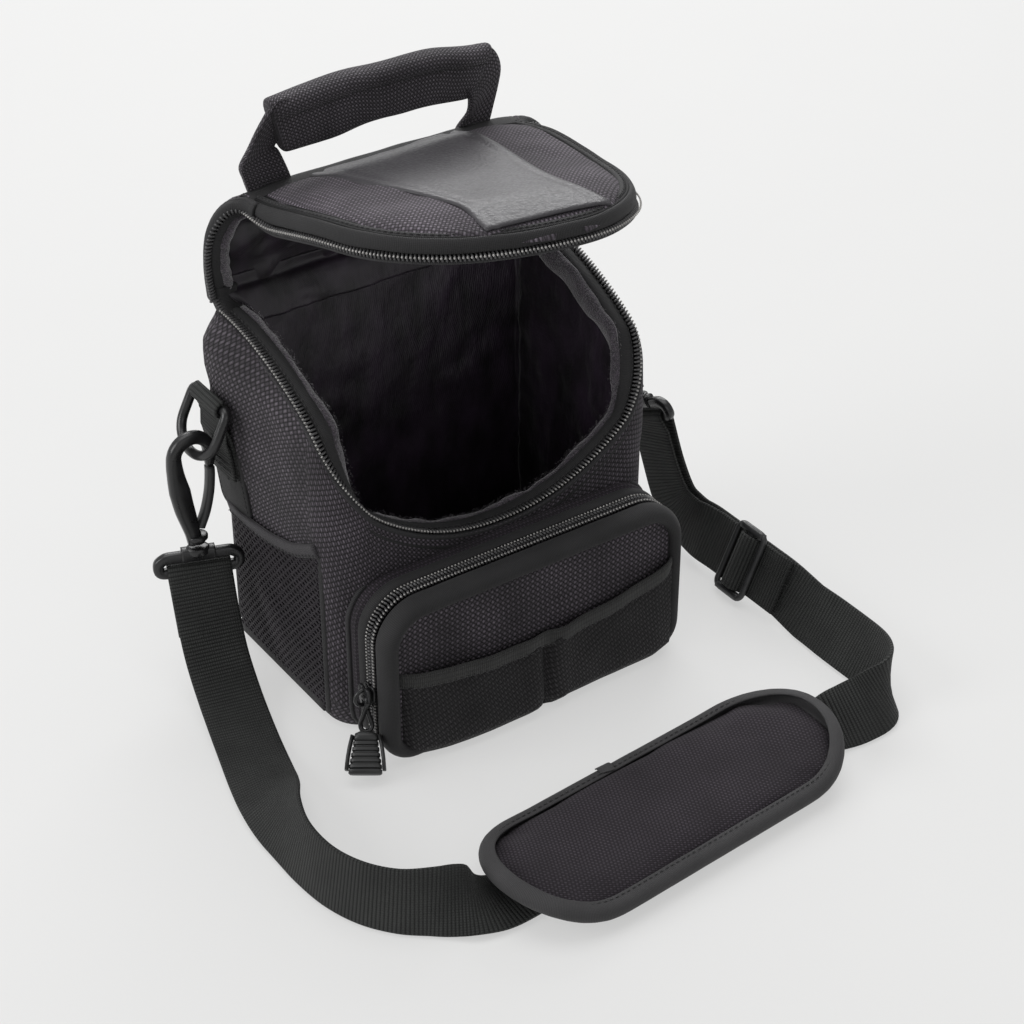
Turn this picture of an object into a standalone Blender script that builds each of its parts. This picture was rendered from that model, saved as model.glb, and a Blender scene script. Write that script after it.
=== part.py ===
"""Small shoulder bag for a camera, standing open, with its strap laid out on the floor.

Lengths are in millimetres and become metres where a mesh is made. +X is the bag's right, -Y its
front and +Z up. The origin is on the floor, under the middle of the bag.
"""

import math

import bmesh
import bpy
from mathutils import Matrix, Vector

MM = 0.001
GAP = 0.3

# Main compartment
HALF_WIDTH = 72.0
FRONT = -34.0
BACK = 55.0
CORNER = 14.0
SHELL = 1.8
LINING = 5.6
RIM_BACK = 152.0
HINGE_RISE = 5.0
RIM_SIDE_FRONT = 130.5
RIM_FRONT_END = 98.0
RIM_FRONT_MIDDLE = 71.0
TAPE = 1.0

# Lid: a back panel that leans forward from the hinge, and a top panel that is folded once
HINGE = Vector((0, 51.6, 155.0))
PANEL = 3.5
LID_LEAN = math.radians(12.8)
BACK_PANEL_HEIGHT = 40.5
TOP_PITCH = math.radians(7.7)
TOP_LENGTH = 104.0
TOP_HALF_WIDTH = 65.0
TOP_CORNER = 53.0
FOLD_AT = 51.0
FOLD_SLIT = 1.5
BAND_BACK = 6.4
BAND_FRONT = 8.6
BAND_WALL = 1.6
LID_TAPE_WIDTH = 5.0

# Front pocket
POCKET_HALF_WIDTH = 66.0
POCKET_TOP = 69.5
POCKET_BOTTOM = 1.0
POCKET_TOP_CORNER = 18.0
POCKET_BOTTOM_CORNER = 12.0
GUSSET_FRONT = -46.0
COVER_FRONT = -57.5
POCKET_CLOTH = 1.5
POCKET_TAPE_WIDTH = 3.0

# Strap hardware
WEBBING = 25.0
WEBBING_THICK = 1.6
TAB_Y = 40.0
TAB_WIDTH = 20.0
RING_BAR = Vector((82.0, TAB_Y, 119.0))
RING_WIRE = 2.0
RING_HALF = 15.0
RING_DEPTH = 22.0
HOOK_ARC = 7.5
HOOK_WIRE = 2.6
HOOK_LENGTH = 43.0
FRAME_HALF = 17.8
FRAME_WIRE = 1.9
FRAME_DROP = 54.0

# Shoulder pad
PAD_LENGTH = 168.0
PAD_WIDTH = 64.0
PAD_THICK = 6.0
PAD_CENTRE = Vector((2.0, -138.0, 3.5))
PAD_ARCH = 9.5
PAD_FLAT = 42.0
PAD_EDGE = 2.6
KEEPER_AT = 36.0
PAD_TURN = math.radians(4.5)

# Strap route from the left frame to the right frame: centre of the webbing, then the
# direction across it
STRAP_ROUTE = [
    (-94, 37.5, 46.8, 0.94, -0.34, 0),
    (-95.6, 31, 31, 0.95, -0.31, 0),
    (-98, 21, 17, 0.97, -0.25, 0),
    (-101, 7, 8, 0.97, -0.22, 0),
    (-104.5, -8, 3.6, 0.97, -0.22, 0),
    (-109, -25, 2.6, 0.96, -0.25, 0.05),
    (-114, -42, 4.6, 0.93, -0.25, 0.25),
    (-119, -59, 8.6, 0.80, -0.20, 0.58),
    (-123.5, -76, 11.8, 0.48, -0.10, 0.87),
    (-126, -92, 12.9, 0.28, 0.05, 0.96),
    (-125, -108, 13.1, 0.18, 0.10, 0.97),
    (-120, -122, 13.1, 0.14, 0.16, 0.97),
    (-111.5, -133, 13.0, 0.12, 0.22, 0.96),
    (-101, -139.5, 12.4, 0.10, 0.38, 0.92),
    (-91, -142.5, 10.0, 0.05, 0.68, 0.72),
    (-81, -143.8, 4.6, 0.0, 0.96, 0.26),
    (-71, -143.7, 2.4, 0.0, 1.0, 0.05),
    (-58, -142.7, 2.0, 0.0, 1.0, 0.0),
    (0, -138.2, 2.0, 0.0, 1.0, 0.0),
    (58, -133.6, 2.0, 0.0, 1.0, 0.0),
    (70, -134.4, 2.0, 0.0, 1.0, 0.03),
    (80, -137.0, 3.0, -0.03, 0.985, 0.16),
    (90, -140.5, 6.8, -0.08, 0.86, 0.50),
    (101, -142.0, 10.4, -0.10, 0.62, 0.78),
    (110, -139.0, 12.6, 0.0, 0.25, 0.97),
    (114.5, -130.5, 12.6, 0.25, 0.0, 0.96),
    (116.5, -118, 11.4, 0.50, 0.0, 0.86),
    (117, -100, 10.7, 0.56, 0.0, 0.83),
    (116.5, -87, 11.4, 0.47, 0.0, 0.88),
    (116, -70, 14.4, 0.42, 0.0, 0.907),
    (116, -58, 14.6, 0.42, 0.0, 0.907),
    (116, -46, 14.6, 0.42, 0.0, 0.907),
    (116, -34, 14.6, 0.42, 0.0, 0.907),
    (116, -22, 14.6, 0.42, 0.0, 0.907),
    (115.8, -11, 16.0, 0.20, -0.12, 0.97),
    (115.2, 0, 22.0, 0.10, -0.50, 0.85),
    (114.4, 8.5, 37.0, 0.02, -0.80, 0.58),
    (113.1, 15.6, 56.2, 0.0, -0.88, 0.47),
]
STRAP_CLEAR = 0.4
LAYER = WEBBING_THICK + GAP
TWISTED_LAYER = LAYER + 1.5

# Strap slider: its place along the route, and how far the tail reaches past it
GLIDE_Y = -46.0
GLIDE_SIZE = (32.0, 18.0, 2.6)
GLIDE_LIFT = 4.4
TAIL = 24.0

# How far up its first stretch of chain each slider stands
POCKET_SLIDER = Vector((-67.8, -49.4, 30.0))
MAIN_SLIDER = Vector((72.8, 44.0, 152.8))
GRIP_SIZE = (16.0, 15.0, 4.6)
GRIP_DROP = 3.6


def clear_scene():
    for thing in list(bpy.data.objects):
        bpy.data.objects.remove(thing, do_unlink=True)


def make_material(name, colour, roughness, metallic=0.0):
    material = bpy.data.materials.new(name)
    material.use_nodes = True
    shader = material.node_tree.nodes["Principled BSDF"]
    shader.inputs["Base Color"].default_value = (*colour, 1.0)
    shader.inputs["Roughness"].default_value = roughness
    shader.inputs["Metallic"].default_value = metallic
    return material


clear_scene()
BAG = bpy.data.collections.new("camera_bag")
CUTTERS = bpy.data.collections.new("cutters")
bpy.context.scene.collection.children.link(BAG)
bpy.context.scene.collection.children.link(CUTTERS)

NYLON = make_material("black_nylon", (0.020, 0.018, 0.021), 0.75)
FOAM = make_material("dark_lining", (0.012, 0.009, 0.013), 0.9)
LEATHER = make_material("smooth_leatherette", (0.045, 0.042, 0.047), 0.4)
TAPE_CLOTH = make_material("binding_tape", (0.030, 0.030, 0.031), 0.8)
TEETH = make_material("zip_teeth", (0.035, 0.035, 0.036), 0.35)
PLUSH = make_material("plush_trim", (0.022, 0.017, 0.024), 1.0)
MESH = make_material("pocket_mesh", (0.016, 0.013, 0.017), 0.85)
WEB = make_material("strap_webbing", (0.012, 0.013, 0.012), 0.7)
PAD_CLOTH = make_material("pad_cloth", (0.030, 0.026, 0.031), 0.85)
PLASTIC = make_material("black_plastic", (0.020, 0.020, 0.022), 0.35)
RUBBER = make_material("pull_rubber", (0.022, 0.022, 0.022), 0.6)


def add_object(name, mesh, material, origin):
    mesh.materials.append(material)
    made = bpy.data.objects.new(name, mesh)
    made.location = Vector(origin) * MM
    BAG.objects.link(made)
    return made


def add_mesh(name, bm, material, origin=(0, 0, 0), smooth=False):
    """Turns millimetre geometry in bag space into an object whose origin is at `origin`."""
    bmesh.ops.recalc_face_normals(bm, faces=bm.faces)
    place = Matrix.Scale(MM, 4) @ Matrix.Translation(-Vector(origin))
    bmesh.ops.transform(bm, matrix=place, verts=bm.verts)
    mesh = bpy.data.meshes.new(name)
    bm.to_mesh(mesh)
    bm.free()
    if smooth:
        mesh.shade_smooth()
        mesh.set_sharp_from_angle(angle=math.radians(40))
    return add_object(name, mesh, material, origin)


def solidify(thing, thickness):
    """Thickens an open surface to its inner side."""
    modifier = thing.modifiers.new("thickness", "SOLIDIFY")
    modifier.thickness = thickness * MM
    modifier.offset = -1
    modifier.use_even_offset = True
    return thing


def cut_with(thing, cutter):
    """Cuts a shape out of a piece and puts the cutter away."""
    BAG.objects.unlink(cutter)
    CUTTERS.objects.link(cutter)
    cutter.hide_render = True
    cutter.display_type = "WIRE"
    modifier = thing.modifiers.new("cut", "BOOLEAN")
    modifier.operation = "DIFFERENCE"
    modifier.solver = "EXACT"
    modifier.object = cutter


def directions_along(points, cyclic=False):
    """Unit direction of travel at each point."""
    count = len(points)
    found = []
    for i in range(count):
        after = points[(i + 1) % count] if cyclic else points[min(i + 1, count - 1)]
        before = points[(i - 1) % count] if cyclic else points[max(i - 1, 0)]
        found.append((after - before).normalized())
    return found


def sections_along(centres, across, width, thickness, cyclic=False):
    """Rectangular sections along a path: four corners at each centre."""
    sections = []
    for centre, direction, hint in zip(centres, directions_along(centres, cyclic), across):
        side = (hint - direction * hint.dot(direction)).normalized()
        normal = direction.cross(side)
        half = side * width / 2
        rise = normal * thickness / 2
        low, high = centre - rise, centre + rise
        sections.append([low - half, low + half, high + half, high - half])
    return sections


def loft(bm, sections, cyclic=False):
    """Joins sections of equal corner counts into a closed skin."""
    rings = [[bm.verts.new(corner) for corner in section] for section in sections]
    sides = len(rings[0])
    pairs = list(zip(rings, rings[1:]))
    if cyclic:
        pairs.append((rings[-1], rings[0]))
    for near, far in pairs:
        for i in range(sides):
            j = (i + 1) % sides
            bm.faces.new((near[i], near[j], far[j], far[i]))
    if not cyclic:
        bm.faces.new(list(reversed(rings[0])))
        bm.faces.new(rings[-1])


def strip(name, centres, across, width, thickness, material, origin=(0, 0, 0), cyclic=False):
    """A flat band along a path."""
    bm = bmesh.new()
    loft(bm, sections_along(centres, across, width, thickness, cyclic), cyclic)
    return add_mesh(name, bm, material, origin)


def block(name, place, size, origin, material):
    """A box of the given size, placed by a matrix."""
    bm = bmesh.new()
    bmesh.ops.create_cube(bm, size=1.0, matrix=place @ Matrix.Diagonal((*size, 1)))
    return add_mesh(name, bm, material, origin)


def square_to(direction, other):
    """The unit direction nearest to `direction` that is square to `other`."""
    return (direction - other * direction.dot(other)).normalized()


def slab(name, outline, depth, material, origin=(0, 0, 0)):
    """A flat outline pushed along `depth`."""
    bm = bmesh.new()
    loft(bm, [outline, [point + depth for point in outline]])
    return add_mesh(name, bm, material, origin)


def tray(name, outline, depth, thickness, material, origin=(0, 0, 0), closed_end=True):
    """A flat outline pushed along `depth` as a wall, with a floor at the first end if wanted."""
    bm = bmesh.new()
    floor = [bm.verts.new(point) for point in outline]
    edge = [bm.verts.new(point + depth) for point in outline]
    if closed_end:
        bm.faces.new(floor)
    for i in range(len(floor)):
        j = (i + 1) % len(floor)
        bm.faces.new((floor[i], floor[j], edge[j], edge[i]))
    made = add_mesh(name, bm, material, origin)
    return solidify(made, thickness)


def tube(name, points, radius, material, origin=(0, 0, 0), cyclic=False, resolution=2):
    """A round wire along straight runs."""
    curve = bpy.data.curves.new(name, "CURVE")
    curve.dimensions = "3D"
    curve.bevel_depth = radius * MM
    curve.bevel_resolution = resolution
    curve.use_fill_caps = True
    spline = curve.splines.new("POLY")
    spline.points.add(len(points) - 1)
    spline.use_cyclic_u = cyclic
    for target, point in zip(spline.points, points):
        target.co = (*((point - Vector(origin)) * MM), 1.0)
    return add_object(name, curve, material, origin)


def arc(centre, radius, start, end, steps):
    """Points (u, v) on an arc, angles in degrees."""
    found = []
    for i in range(steps + 1):
        angle = math.radians(start + (end - start) * i / steps)
        found.append((centre[0] + radius * math.cos(angle), centre[1] + radius * math.sin(angle)))
    return found


def spread(first, last, steps):
    """Evenly spaced values between two ends, both left out."""
    return [first + (last - first) * i / steps for i in range(1, steps)]


def smooth_route(points, per_span):
    """Points on the smooth curve (Catmull-Rom) through the given ones."""
    found = []
    ends = [points[0]] + list(points) + [points[-1]]
    for before, start, end, after in zip(ends, ends[1:], ends[2:], ends[3:]):
        for i in range(per_span):
            t = i / per_span
            bend = 2 * before - 5 * start + 4 * end - after
            swing = 3 * start - 3 * end + after - before
            found.append((2 * start + (end - before) * t + bend * t * t + swing * t**3) / 2)
    found.append(points[-1].copy())
    return found


# Main compartment


def side_rim(y):
    return RIM_BACK - (RIM_BACK - RIM_SIDE_FRONT) * (max(BACK - 10 - y, 0) / 65) ** 1.9


def front_rim(x):
    reach = HALF_WIDTH - CORNER
    return RIM_FRONT_MIDDLE + (RIM_FRONT_END - RIM_FRONT_MIDDLE) * (abs(x) / reach) ** 2.2


def rim_run(inset):
    """Points (x, y, height) of the opening's edge from its left back end, round the front, to the right.

    Every inset gives the same number of points, and matching points share their height.
    """
    half = HALF_WIDTH - inset
    left = [(-half, y, side_rim(y)) for y in [BACK - 10] + spread(BACK - 10, FRONT + CORNER, 6)]
    steps = 5
    centre = (CORNER - HALF_WIDTH, FRONT + CORNER)
    for i, (x, y) in enumerate(arc(centre, CORNER - inset, 180, 270, steps)):
        left.append((x, y, RIM_SIDE_FRONT + (RIM_FRONT_END - RIM_SIDE_FRONT) * i / steps))
    for x in spread(CORNER - HALF_WIDTH, 0, 4):
        left.append((x, FRONT + inset, front_rim(x)))
    right = [(-x, y, height) for x, y, height in reversed(left)]
    return left + [(0.0, FRONT + inset, RIM_FRONT_MIDDLE)] + right


def compartment_loop(inset):
    """The whole outline of the compartment with its rim heights."""
    radius = 11.0
    corner = arc((HALF_WIDTH - radius, BACK - radius), radius - inset if inset < radius else 0.5, 0, 90, 4)
    right_back = [(x, y, RIM_BACK) for x, y in corner]
    back = [(half, BACK - inset, RIM_BACK + HINGE_RISE) for half in (57.0, -57.0)]
    left_back = [(-x, y, RIM_BACK) for x, y in reversed(corner)]
    return rim_run(inset) + right_back + back + left_back


def compartment_shell(name, inset, floor, thickness, material):
    """An open-topped tub whose walls end just under the zip tape."""
    tuck = 2.5
    drop = 2.4
    inside = inset + thickness
    rings = [[(x, y, floor) for x, y, _ in compartment_loop(inset + tuck)]]
    rings.append([(x, y, floor + tuck) for x, y, _ in compartment_loop(inset)])
    rings.append([(x, y, height - drop) for x, y, height in compartment_loop(inset)])
    rings.append([(x, y, height - drop) for x, y, height in compartment_loop(inside)])
    rings.append([(x, y, floor + thickness) for x, y, _ in compartment_loop(inside)])
    bm = bmesh.new()
    loft(bm, [[Vector(point) for point in ring] for ring in rings])
    return add_mesh(name, bm, material)


def rim_piece(name, near, far, low, high, material):
    """A strip along the opening's edge, between two insets and two heights from the rim line."""
    sections = []
    for outer, inner in zip(rim_run(near), rim_run(far)):
        lift = Vector((0, 0, low))
        rise = Vector((0, 0, high))
        outer = Vector(outer)
        inner = Vector(inner)
        sections.append([outer + lift, inner + lift, inner + rise, outer + rise])
    bm = bmesh.new()
    loft(bm, sections)
    return add_mesh(name, bm, material)


def main_compartment():
    compartment_shell("outer_shell", 0, 0, SHELL, NYLON)
    lining_at = SHELL + GAP
    compartment_shell("padded_lining", lining_at, lining_at, LINING, FOAM)
    floor = lining_at + LINING + GAP
    inset = SHELL + LINING + 4
    half = HALF_WIDTH - inset
    corners = [(-half, FRONT + inset), (half, FRONT + inset), (half, BACK - inset), (-half, BACK - inset)]
    slab("base_pad", [Vector((x, y, floor)) for x, y in corners], Vector((0, 0, 3)), FOAM)
    rim_piece("body_zip_teeth", 0.2, 1.7, -2.0, -0.3, TEETH)
    rim_piece("body_zip_tape", 2.1, 7.4, -1.9, -1.0, TAPE_CLOTH)
    rim_piece("rim_trim", 8.1, 9.8, -9.0, -0.8, PLUSH)


def side_pocket(side, suffix):
    """Net pocket with a bound top edge on one side of the bag."""
    x = side * (HALF_WIDTH + 0.5)
    top = [(BACK - 9, 62.0), (30, 63.0), (10, 66.0), (-6, 70.5), (FRONT + CORNER, 78.0)]
    bottom = [(FRONT + CORNER, 5.0), (BACK - 9, 5.0)]
    outline = [Vector((x, y, z)) for y, z in top + bottom]
    slab("side_pocket_" + suffix, outline, Vector((side * 1.2, 0, 0)), MESH)
    centres = [Vector((x + side * 0.9, y, z + 3.0)) for y, z in top]
    strip("side_binding_" + suffix, centres, [Vector((0, 0, 1))] * len(centres), 5.0, 1.8, TAPE_CLOTH)


# Lid


def lid_axes():
    """Places and directions of the lid at rest: ridge, up the back panel, forward and up on the top panel."""
    inward = Vector((0, -math.cos(LID_LEAN), -math.sin(LID_LEAN)))
    upward = Vector((0, -math.sin(LID_LEAN), math.cos(LID_LEAN)))
    foot = HINGE - inward * PANEL
    forward = Vector((0, -math.cos(TOP_PITCH), math.sin(TOP_PITCH)))
    normal = Vector((0, math.sin(TOP_PITCH), math.cos(TOP_PITCH)))
    return foot, inward, upward, foot + upward * BACK_PANEL_HEIGHT, forward, normal


FOOT, INWARD, UPWARD, RIDGE, FORWARD, NORMAL = lid_axes()
FOLD = RIDGE + FORWARD * FOLD_AT - NORMAL * (BAND_FRONT + 1)


def on_top(x, run, height):
    """A point of the top panel: across, forward from the ridge, and above its face."""
    return RIDGE + Vector((x, 0, 0)) + FORWARD * run + NORMAL * height


def on_back(x, rise, depth):
    """A point of the back panel: across, up from the hinge, and in from its outer face."""
    return FOOT + Vector((x, 0, 0)) + UPWARD * rise + INWARD * depth


def front_edge(inset, steps=14):
    """Points (x, run) of the top panel's rounded front, from left to right."""
    radius = TOP_CORNER - inset
    reach = TOP_HALF_WIDTH - TOP_CORNER
    centre = TOP_LENGTH - TOP_CORNER
    start = FOLD_AT + FOLD_SLIT / 2
    left = [(-x, y) for x, y in arc((reach, centre), radius, 0, 90, steps // 2)]
    left[0] = (left[0][0], start)
    return left + [(-x, y) for x, y in reversed(left)]


def middle_edge(inset):
    """Points (x, run) of one side of the top panel behind its fold."""
    half = TOP_HALF_WIDTH - inset
    return [(half, 4.2), (half, FOLD_AT - FOLD_SLIT / 2)]


def u_section(half, wall, face, edge, place):
    """Corners of a panel with a wall down each side, as one U-shaped section."""
    inner = half - wall
    shape = [(-half, 0), (half, 0), (half, edge), (inner, edge)]
    shape += [(inner, face), (-inner, face), (-inner, edge), (-half, edge)]
    return [place(u, v) for u, v in shape]


def lid_back():
    """The panel between the hinge and the ridge, with the cloth walls at its sides."""
    sections = []
    for rise in (0.4, 3.0, 12.0, 24.0, BACK_PANEL_HEIGHT - 6.5):
        edge = back_depth(rise)
        place = lambda x, d, at=rise: on_back(x, at, d)
        sections.append(u_section(TOP_HALF_WIDTH, BAND_WALL, 2.2, edge, place))
    bm = bmesh.new()
    loft(bm, sections)
    add_mesh("lid_back_panel", bm, NYLON, HINGE)
    half = TOP_HALF_WIDTH
    corners = [(-half, BACK_PANEL_HEIGHT - 6.2), (half, BACK_PANEL_HEIGHT - 6.2)]
    corners += [(half, BACK_PANEL_HEIGHT - 0.3), (-half, BACK_PANEL_HEIGHT - 0.3)]
    slab("lid_ridge", [on_back(x, rise, 0) for x, rise in corners], INWARD * 2.2, TAPE_CLOTH, HINGE)
    inner = half - 4
    top = BACK_PANEL_HEIGHT - 6
    corners = [(-inner, 0.8), (inner, 0.8), (inner, top), (-inner, top)]
    slab("lid_back_lining", [on_back(x, rise, 2.5) for x, rise in corners], INWARD * 0.9, FOAM, HINGE)


def back_depth(rise):
    """How far in the side wall of the back panel reaches."""
    return PANEL + 0.1 + (BAND_BACK - PANEL - 0.6) * rise / BACK_PANEL_HEIGHT


def band_depth(run):
    """How far down the side wall of the top panel reaches."""
    return BAND_BACK + (BAND_FRONT - BAND_BACK) * min(run / FOLD_AT, 1)


def side_loft(name, stations, material, origin):
    """The same lofted piece on the left and on the right, each in its own node."""
    for side, suffix in ((-1, "_left"), (1, "_right")):
        bm = bmesh.new()
        loft(bm, [[Vector((side * p.x, p.y, p.z)) for p in section] for section in stations])
        add_mesh(name + suffix, bm, material, origin)


def lid_zip():
    """Zip tape and teeth along the free edge of the lid's walls."""
    outer = TOP_HALF_WIDTH
    tape = outer - LID_TAPE_WIDTH
    stations = []
    for rise in (3.0, 12.0, 24.0, BACK_PANEL_HEIGHT - 6.5):
        edge = back_depth(rise) + GAP
        shape = ((tape, edge), (outer, edge), (outer, edge + 1.2), (tape, edge + 1.2))
        stations.append([on_back(x, rise, d) for x, d in shape])
    side_loft("lid_back_zip", stations, TEETH, HINGE)
    stations = []
    for run in (8.0, 26.0, FOLD_AT - FOLD_SLIT / 2):
        edge = band_depth(run) + GAP
        shape = ((tape, edge), (outer, edge), (outer, edge + 1.2), (tape, edge + 1.2))
        stations.append([on_top(x, run, -d) for x, d in shape])
    side_loft("lid_middle_zip", stations, TEETH, RIDGE)
    front_strip("lid_front_zip", LID_TAPE_WIDTH / 2, -BAND_FRONT - 0.95, 1.3, LID_TAPE_WIDTH, TEETH)


def front_strip(name, inset, height, tall, thick, material):
    """A band round the lid's front, `inset` inside its outline."""
    centres = [on_top(x, run, height) for x, run in front_edge(inset)]
    return strip(name, centres, [NORMAL] * len(centres), tall, thick, material, FOLD)


def lid_top():
    """The top panel behind its fold, with its side walls, and the rounded part in front of it."""
    last = FOLD_AT - FOLD_SLIT / 2
    sections = []
    for run in (4.2, 26.0, last):
        edge = band_depth(run)
        place = lambda x, d, at=run: on_top(x, at, -d)
        sections.append(u_section(TOP_HALF_WIDTH, BAND_WALL, PANEL, edge, place))
    bm = bmesh.new()
    loft(bm, sections)
    add_mesh("lid_middle_panel", bm, NYLON, RIDGE)
    inner = TOP_HALF_WIDTH - BAND_WALL - GAP
    lining = [(-inner, 9.0), (inner, 9.0), (inner, last), (-inner, last)]
    under = -PANEL - GAP
    slab("lid_middle_lining", [on_top(x, run, under) for x, run in lining], NORMAL * -1, FOAM, RIDGE)
    slab("lid_front_panel", [on_top(x, run, 0) for x, run in front_edge(0)], NORMAL * -PANEL, NYLON, FOLD)
    inset = BAND_WALL + GAP
    slab("lid_front_lining", [on_top(x, run, under) for x, run in front_edge(inset)], NORMAL * -1, FOAM, FOLD)
    depth = (BAND_FRONT + PANEL + GAP) / 2
    front_strip("lid_front_band", BAND_WALL / 2, -depth, BAND_FRONT - PANEL - GAP, BAND_WALL, NYLON)


def lid_trim():
    """Raised piping round the top, and the smooth patch down its middle."""
    stations = []
    for x, run in middle_edge(0):
        shape = ((x - 4, GAP), (x - 0.2, GAP), (x - 0.2, 2.2), (x - 4, 2.2))
        stations.append([on_top(u, run, h) for u, h in shape])
    side_loft("lid_middle_piping", stations, TAPE_CLOTH, RIDGE)
    front_strip("lid_front_piping", 2.2, GAP + 0.95, 1.9, 3.8, TAPE_CLOTH)
    half_back = 38.0
    half_fold = 34.0
    half_front = 28.0
    last = FOLD_AT - FOLD_SLIT / 2
    patch = [(-half_back, 5.0), (half_back, 5.0), (half_fold, last), (-half_fold, last)]
    slab("leather_patch_middle", [on_top(x, run, GAP) for x, run in patch], NORMAL * 0.9, LEATHER, RIDGE)
    first = last + FOLD_SLIT
    end = TOP_LENGTH - 8.5
    patch = [(-half_fold, first), (half_fold, first), (half_front, end - 6), (-half_front, end - 6)]
    slab("leather_patch_front", [on_top(x, run, GAP) for x, run in patch], NORMAL * 0.9, LEATHER, FOLD)


# Handle

HANDLE_PIVOT = RIDGE + Vector((0, 0, 3.0))


def handle():
    y = RIDGE.y
    outer = [(-57, 0.6), (-60, 11), (-47, 34), (47, 34), (60, 11), (57, 0.6)]
    inner = [(39, 0.6), (41.5, 10), (36, 14), (-36, 14), (-41.5, 10), (-39, 0.6)]
    outline = [Vector((x, y - 1.3, RIDGE.z + z)) for x, z in outer + inner]
    slab("handle_webbing", outline, Vector((0, 2.6, 0)), WEB, HANDLE_PIVOT)
    thick = 2.2
    low = RIDGE.z + 14 - GAP - thick
    high = RIDGE.z + 34 + GAP + thick
    deep = 1.3 + GAP + thick
    soft = 2.4
    profile = []
    for u, v, start in ((deep, high, 0), (-deep, high, 90), (-deep, low, 180), (deep, low, 270)):
        centre = (u - math.copysign(soft, u), v - math.copysign(soft, v - (low + high) / 2))
        profile += arc(centre, soft, start, start + 90, 3)
    ring = [Vector((-36, y + u, v)) for u, v in profile]
    tray("handle_grip", ring, Vector((72, 0, 0)), thick, NYLON, HANDLE_PIVOT, closed_end=False)


# Front pocket


def pocket_outline(inset=0.0):
    """Points (x, z) round the front pocket, seen from the front."""
    half = POCKET_HALF_WIDTH - inset
    low = POCKET_BOTTOM + inset
    high = POCKET_TOP - inset
    upper = POCKET_TOP_CORNER - inset
    lower = max(POCKET_BOTTOM_CORNER - inset, 1)
    right = arc((half - lower, low + lower), lower, 270, 360, 3)
    right += arc((half - upper, high - upper), upper, 0, 90, 6)
    left = [(-x, z) for x, z in reversed(right)]
    return right + left


COVER_HINGE = Vector((0, COVER_FRONT, POCKET_BOTTOM))


def pocket_ring(name, inset, y, width, thickness, material, origin=(0, 0, 0)):
    """A closed band along the pocket's outline whose width runs front to back."""
    centres = [Vector((x, y, z)) for x, z in pocket_outline(inset)]
    return strip(name, centres, [Vector((0, 1, 0))] * len(centres), width, thickness, material, origin, True)


def front_pocket():
    back = FRONT - GAP
    outline = [Vector((x, back, z)) for x, z in pocket_outline()]
    tray("pocket_gusset", outline, Vector((0, GUSSET_FRONT - back, 0)), POCKET_CLOTH, NYLON)
    y = GUSSET_FRONT - GAP - POCKET_TAPE_WIDTH / 2
    pocket_ring("pocket_zip_fixed", POCKET_CLOTH / 2, y, POCKET_TAPE_WIDTH, 1.2, TEETH)
    y -= POCKET_TAPE_WIDTH + GAP
    pocket_ring("pocket_zip_cover", POCKET_CLOTH / 2, y, POCKET_TAPE_WIDTH, 1.2, TEETH, COVER_HINGE)
    edge = y - POCKET_TAPE_WIDTH / 2 - GAP
    outline = [Vector((x, COVER_FRONT, z)) for x, z in pocket_outline()]
    tray("pocket_cover", outline, Vector((0, edge - COVER_FRONT, 0)), POCKET_CLOTH, NYLON, COVER_HINGE)
    pocket_ring("cover_binding", 2.6, COVER_FRONT - GAP - 0.9, 1.8, 5.0, TAPE_CLOTH, COVER_HINGE)
    half = POCKET_HALF_WIDTH - 6
    y = COVER_FRONT - GAP
    corners = [(-half, 10.5), (half, 10.5), (half, 28.5), (-half, 28.5)]
    slab("slip_pocket", [Vector((x, y, z)) for x, z in corners], Vector((0, -1.5, 0)), NYLON, COVER_HINGE)
    corners = [(-half, 29.0), (half, 29.0), (half, 37.0), (-half, 37.0)]
    outline = [Vector((x, y, z)) for x, z in corners]
    slab("slip_pocket_band", outline, Vector((0, -1.8, 0)), TAPE_CLOTH, COVER_HINGE)


# Zip sliders


def box(name, centre, size, material, origin, bevel=0.0):
    bm = bmesh.new()
    bmesh.ops.create_cube(bm, size=1.0, matrix=Matrix.Translation(centre) @ Matrix.Diagonal((*size, 1)))
    made = add_mesh(name, bm, material, origin)
    if bevel:
        modifier = made.modifiers.new("edges", "BEVEL")
        modifier.width = bevel * MM
        modifier.segments = 2
    return made


def zip_slider(name, at, outward, along, reach, hang, broad):
    """Slider block with its puller: a link on its pin, then a moulded grip that points along `hang`."""
    level = along.cross(outward)
    size = Vector([abs(v) for v in along * 9 + outward * 2.6 + level * 7])
    box(name + "_slider", at + outward * 1.5, size, PLASTIC, at, 0.6)
    pin = at + outward * 5.0
    half = Vector((0, 2.2, 0))
    foot = pin + Vector((0, 0, -reach))
    loop = [pin - half, pin + half, foot + half, foot - half]
    tube(name + "_pull_cord", loop, 0.9, WEB, pin, cyclic=True, resolution=1)
    hang = hang.normalized()
    broad = square_to(broad, hang)
    length, width, thick = GRIP_SIZE
    turn = Matrix((broad, hang.cross(broad), hang)).transposed().to_4x4()
    place = Matrix.Translation(foot + hang * (length / 2 + GRIP_DROP)) @ turn
    grip = block(name + "_pull_grip", place, (width, thick, length), pin, RUBBER)
    modifier = grip.modifiers.new("edges", "BEVEL")
    modifier.width = 1.2 * MM
    modifier.segments = 2


# Rings, hooks and frames


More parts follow.
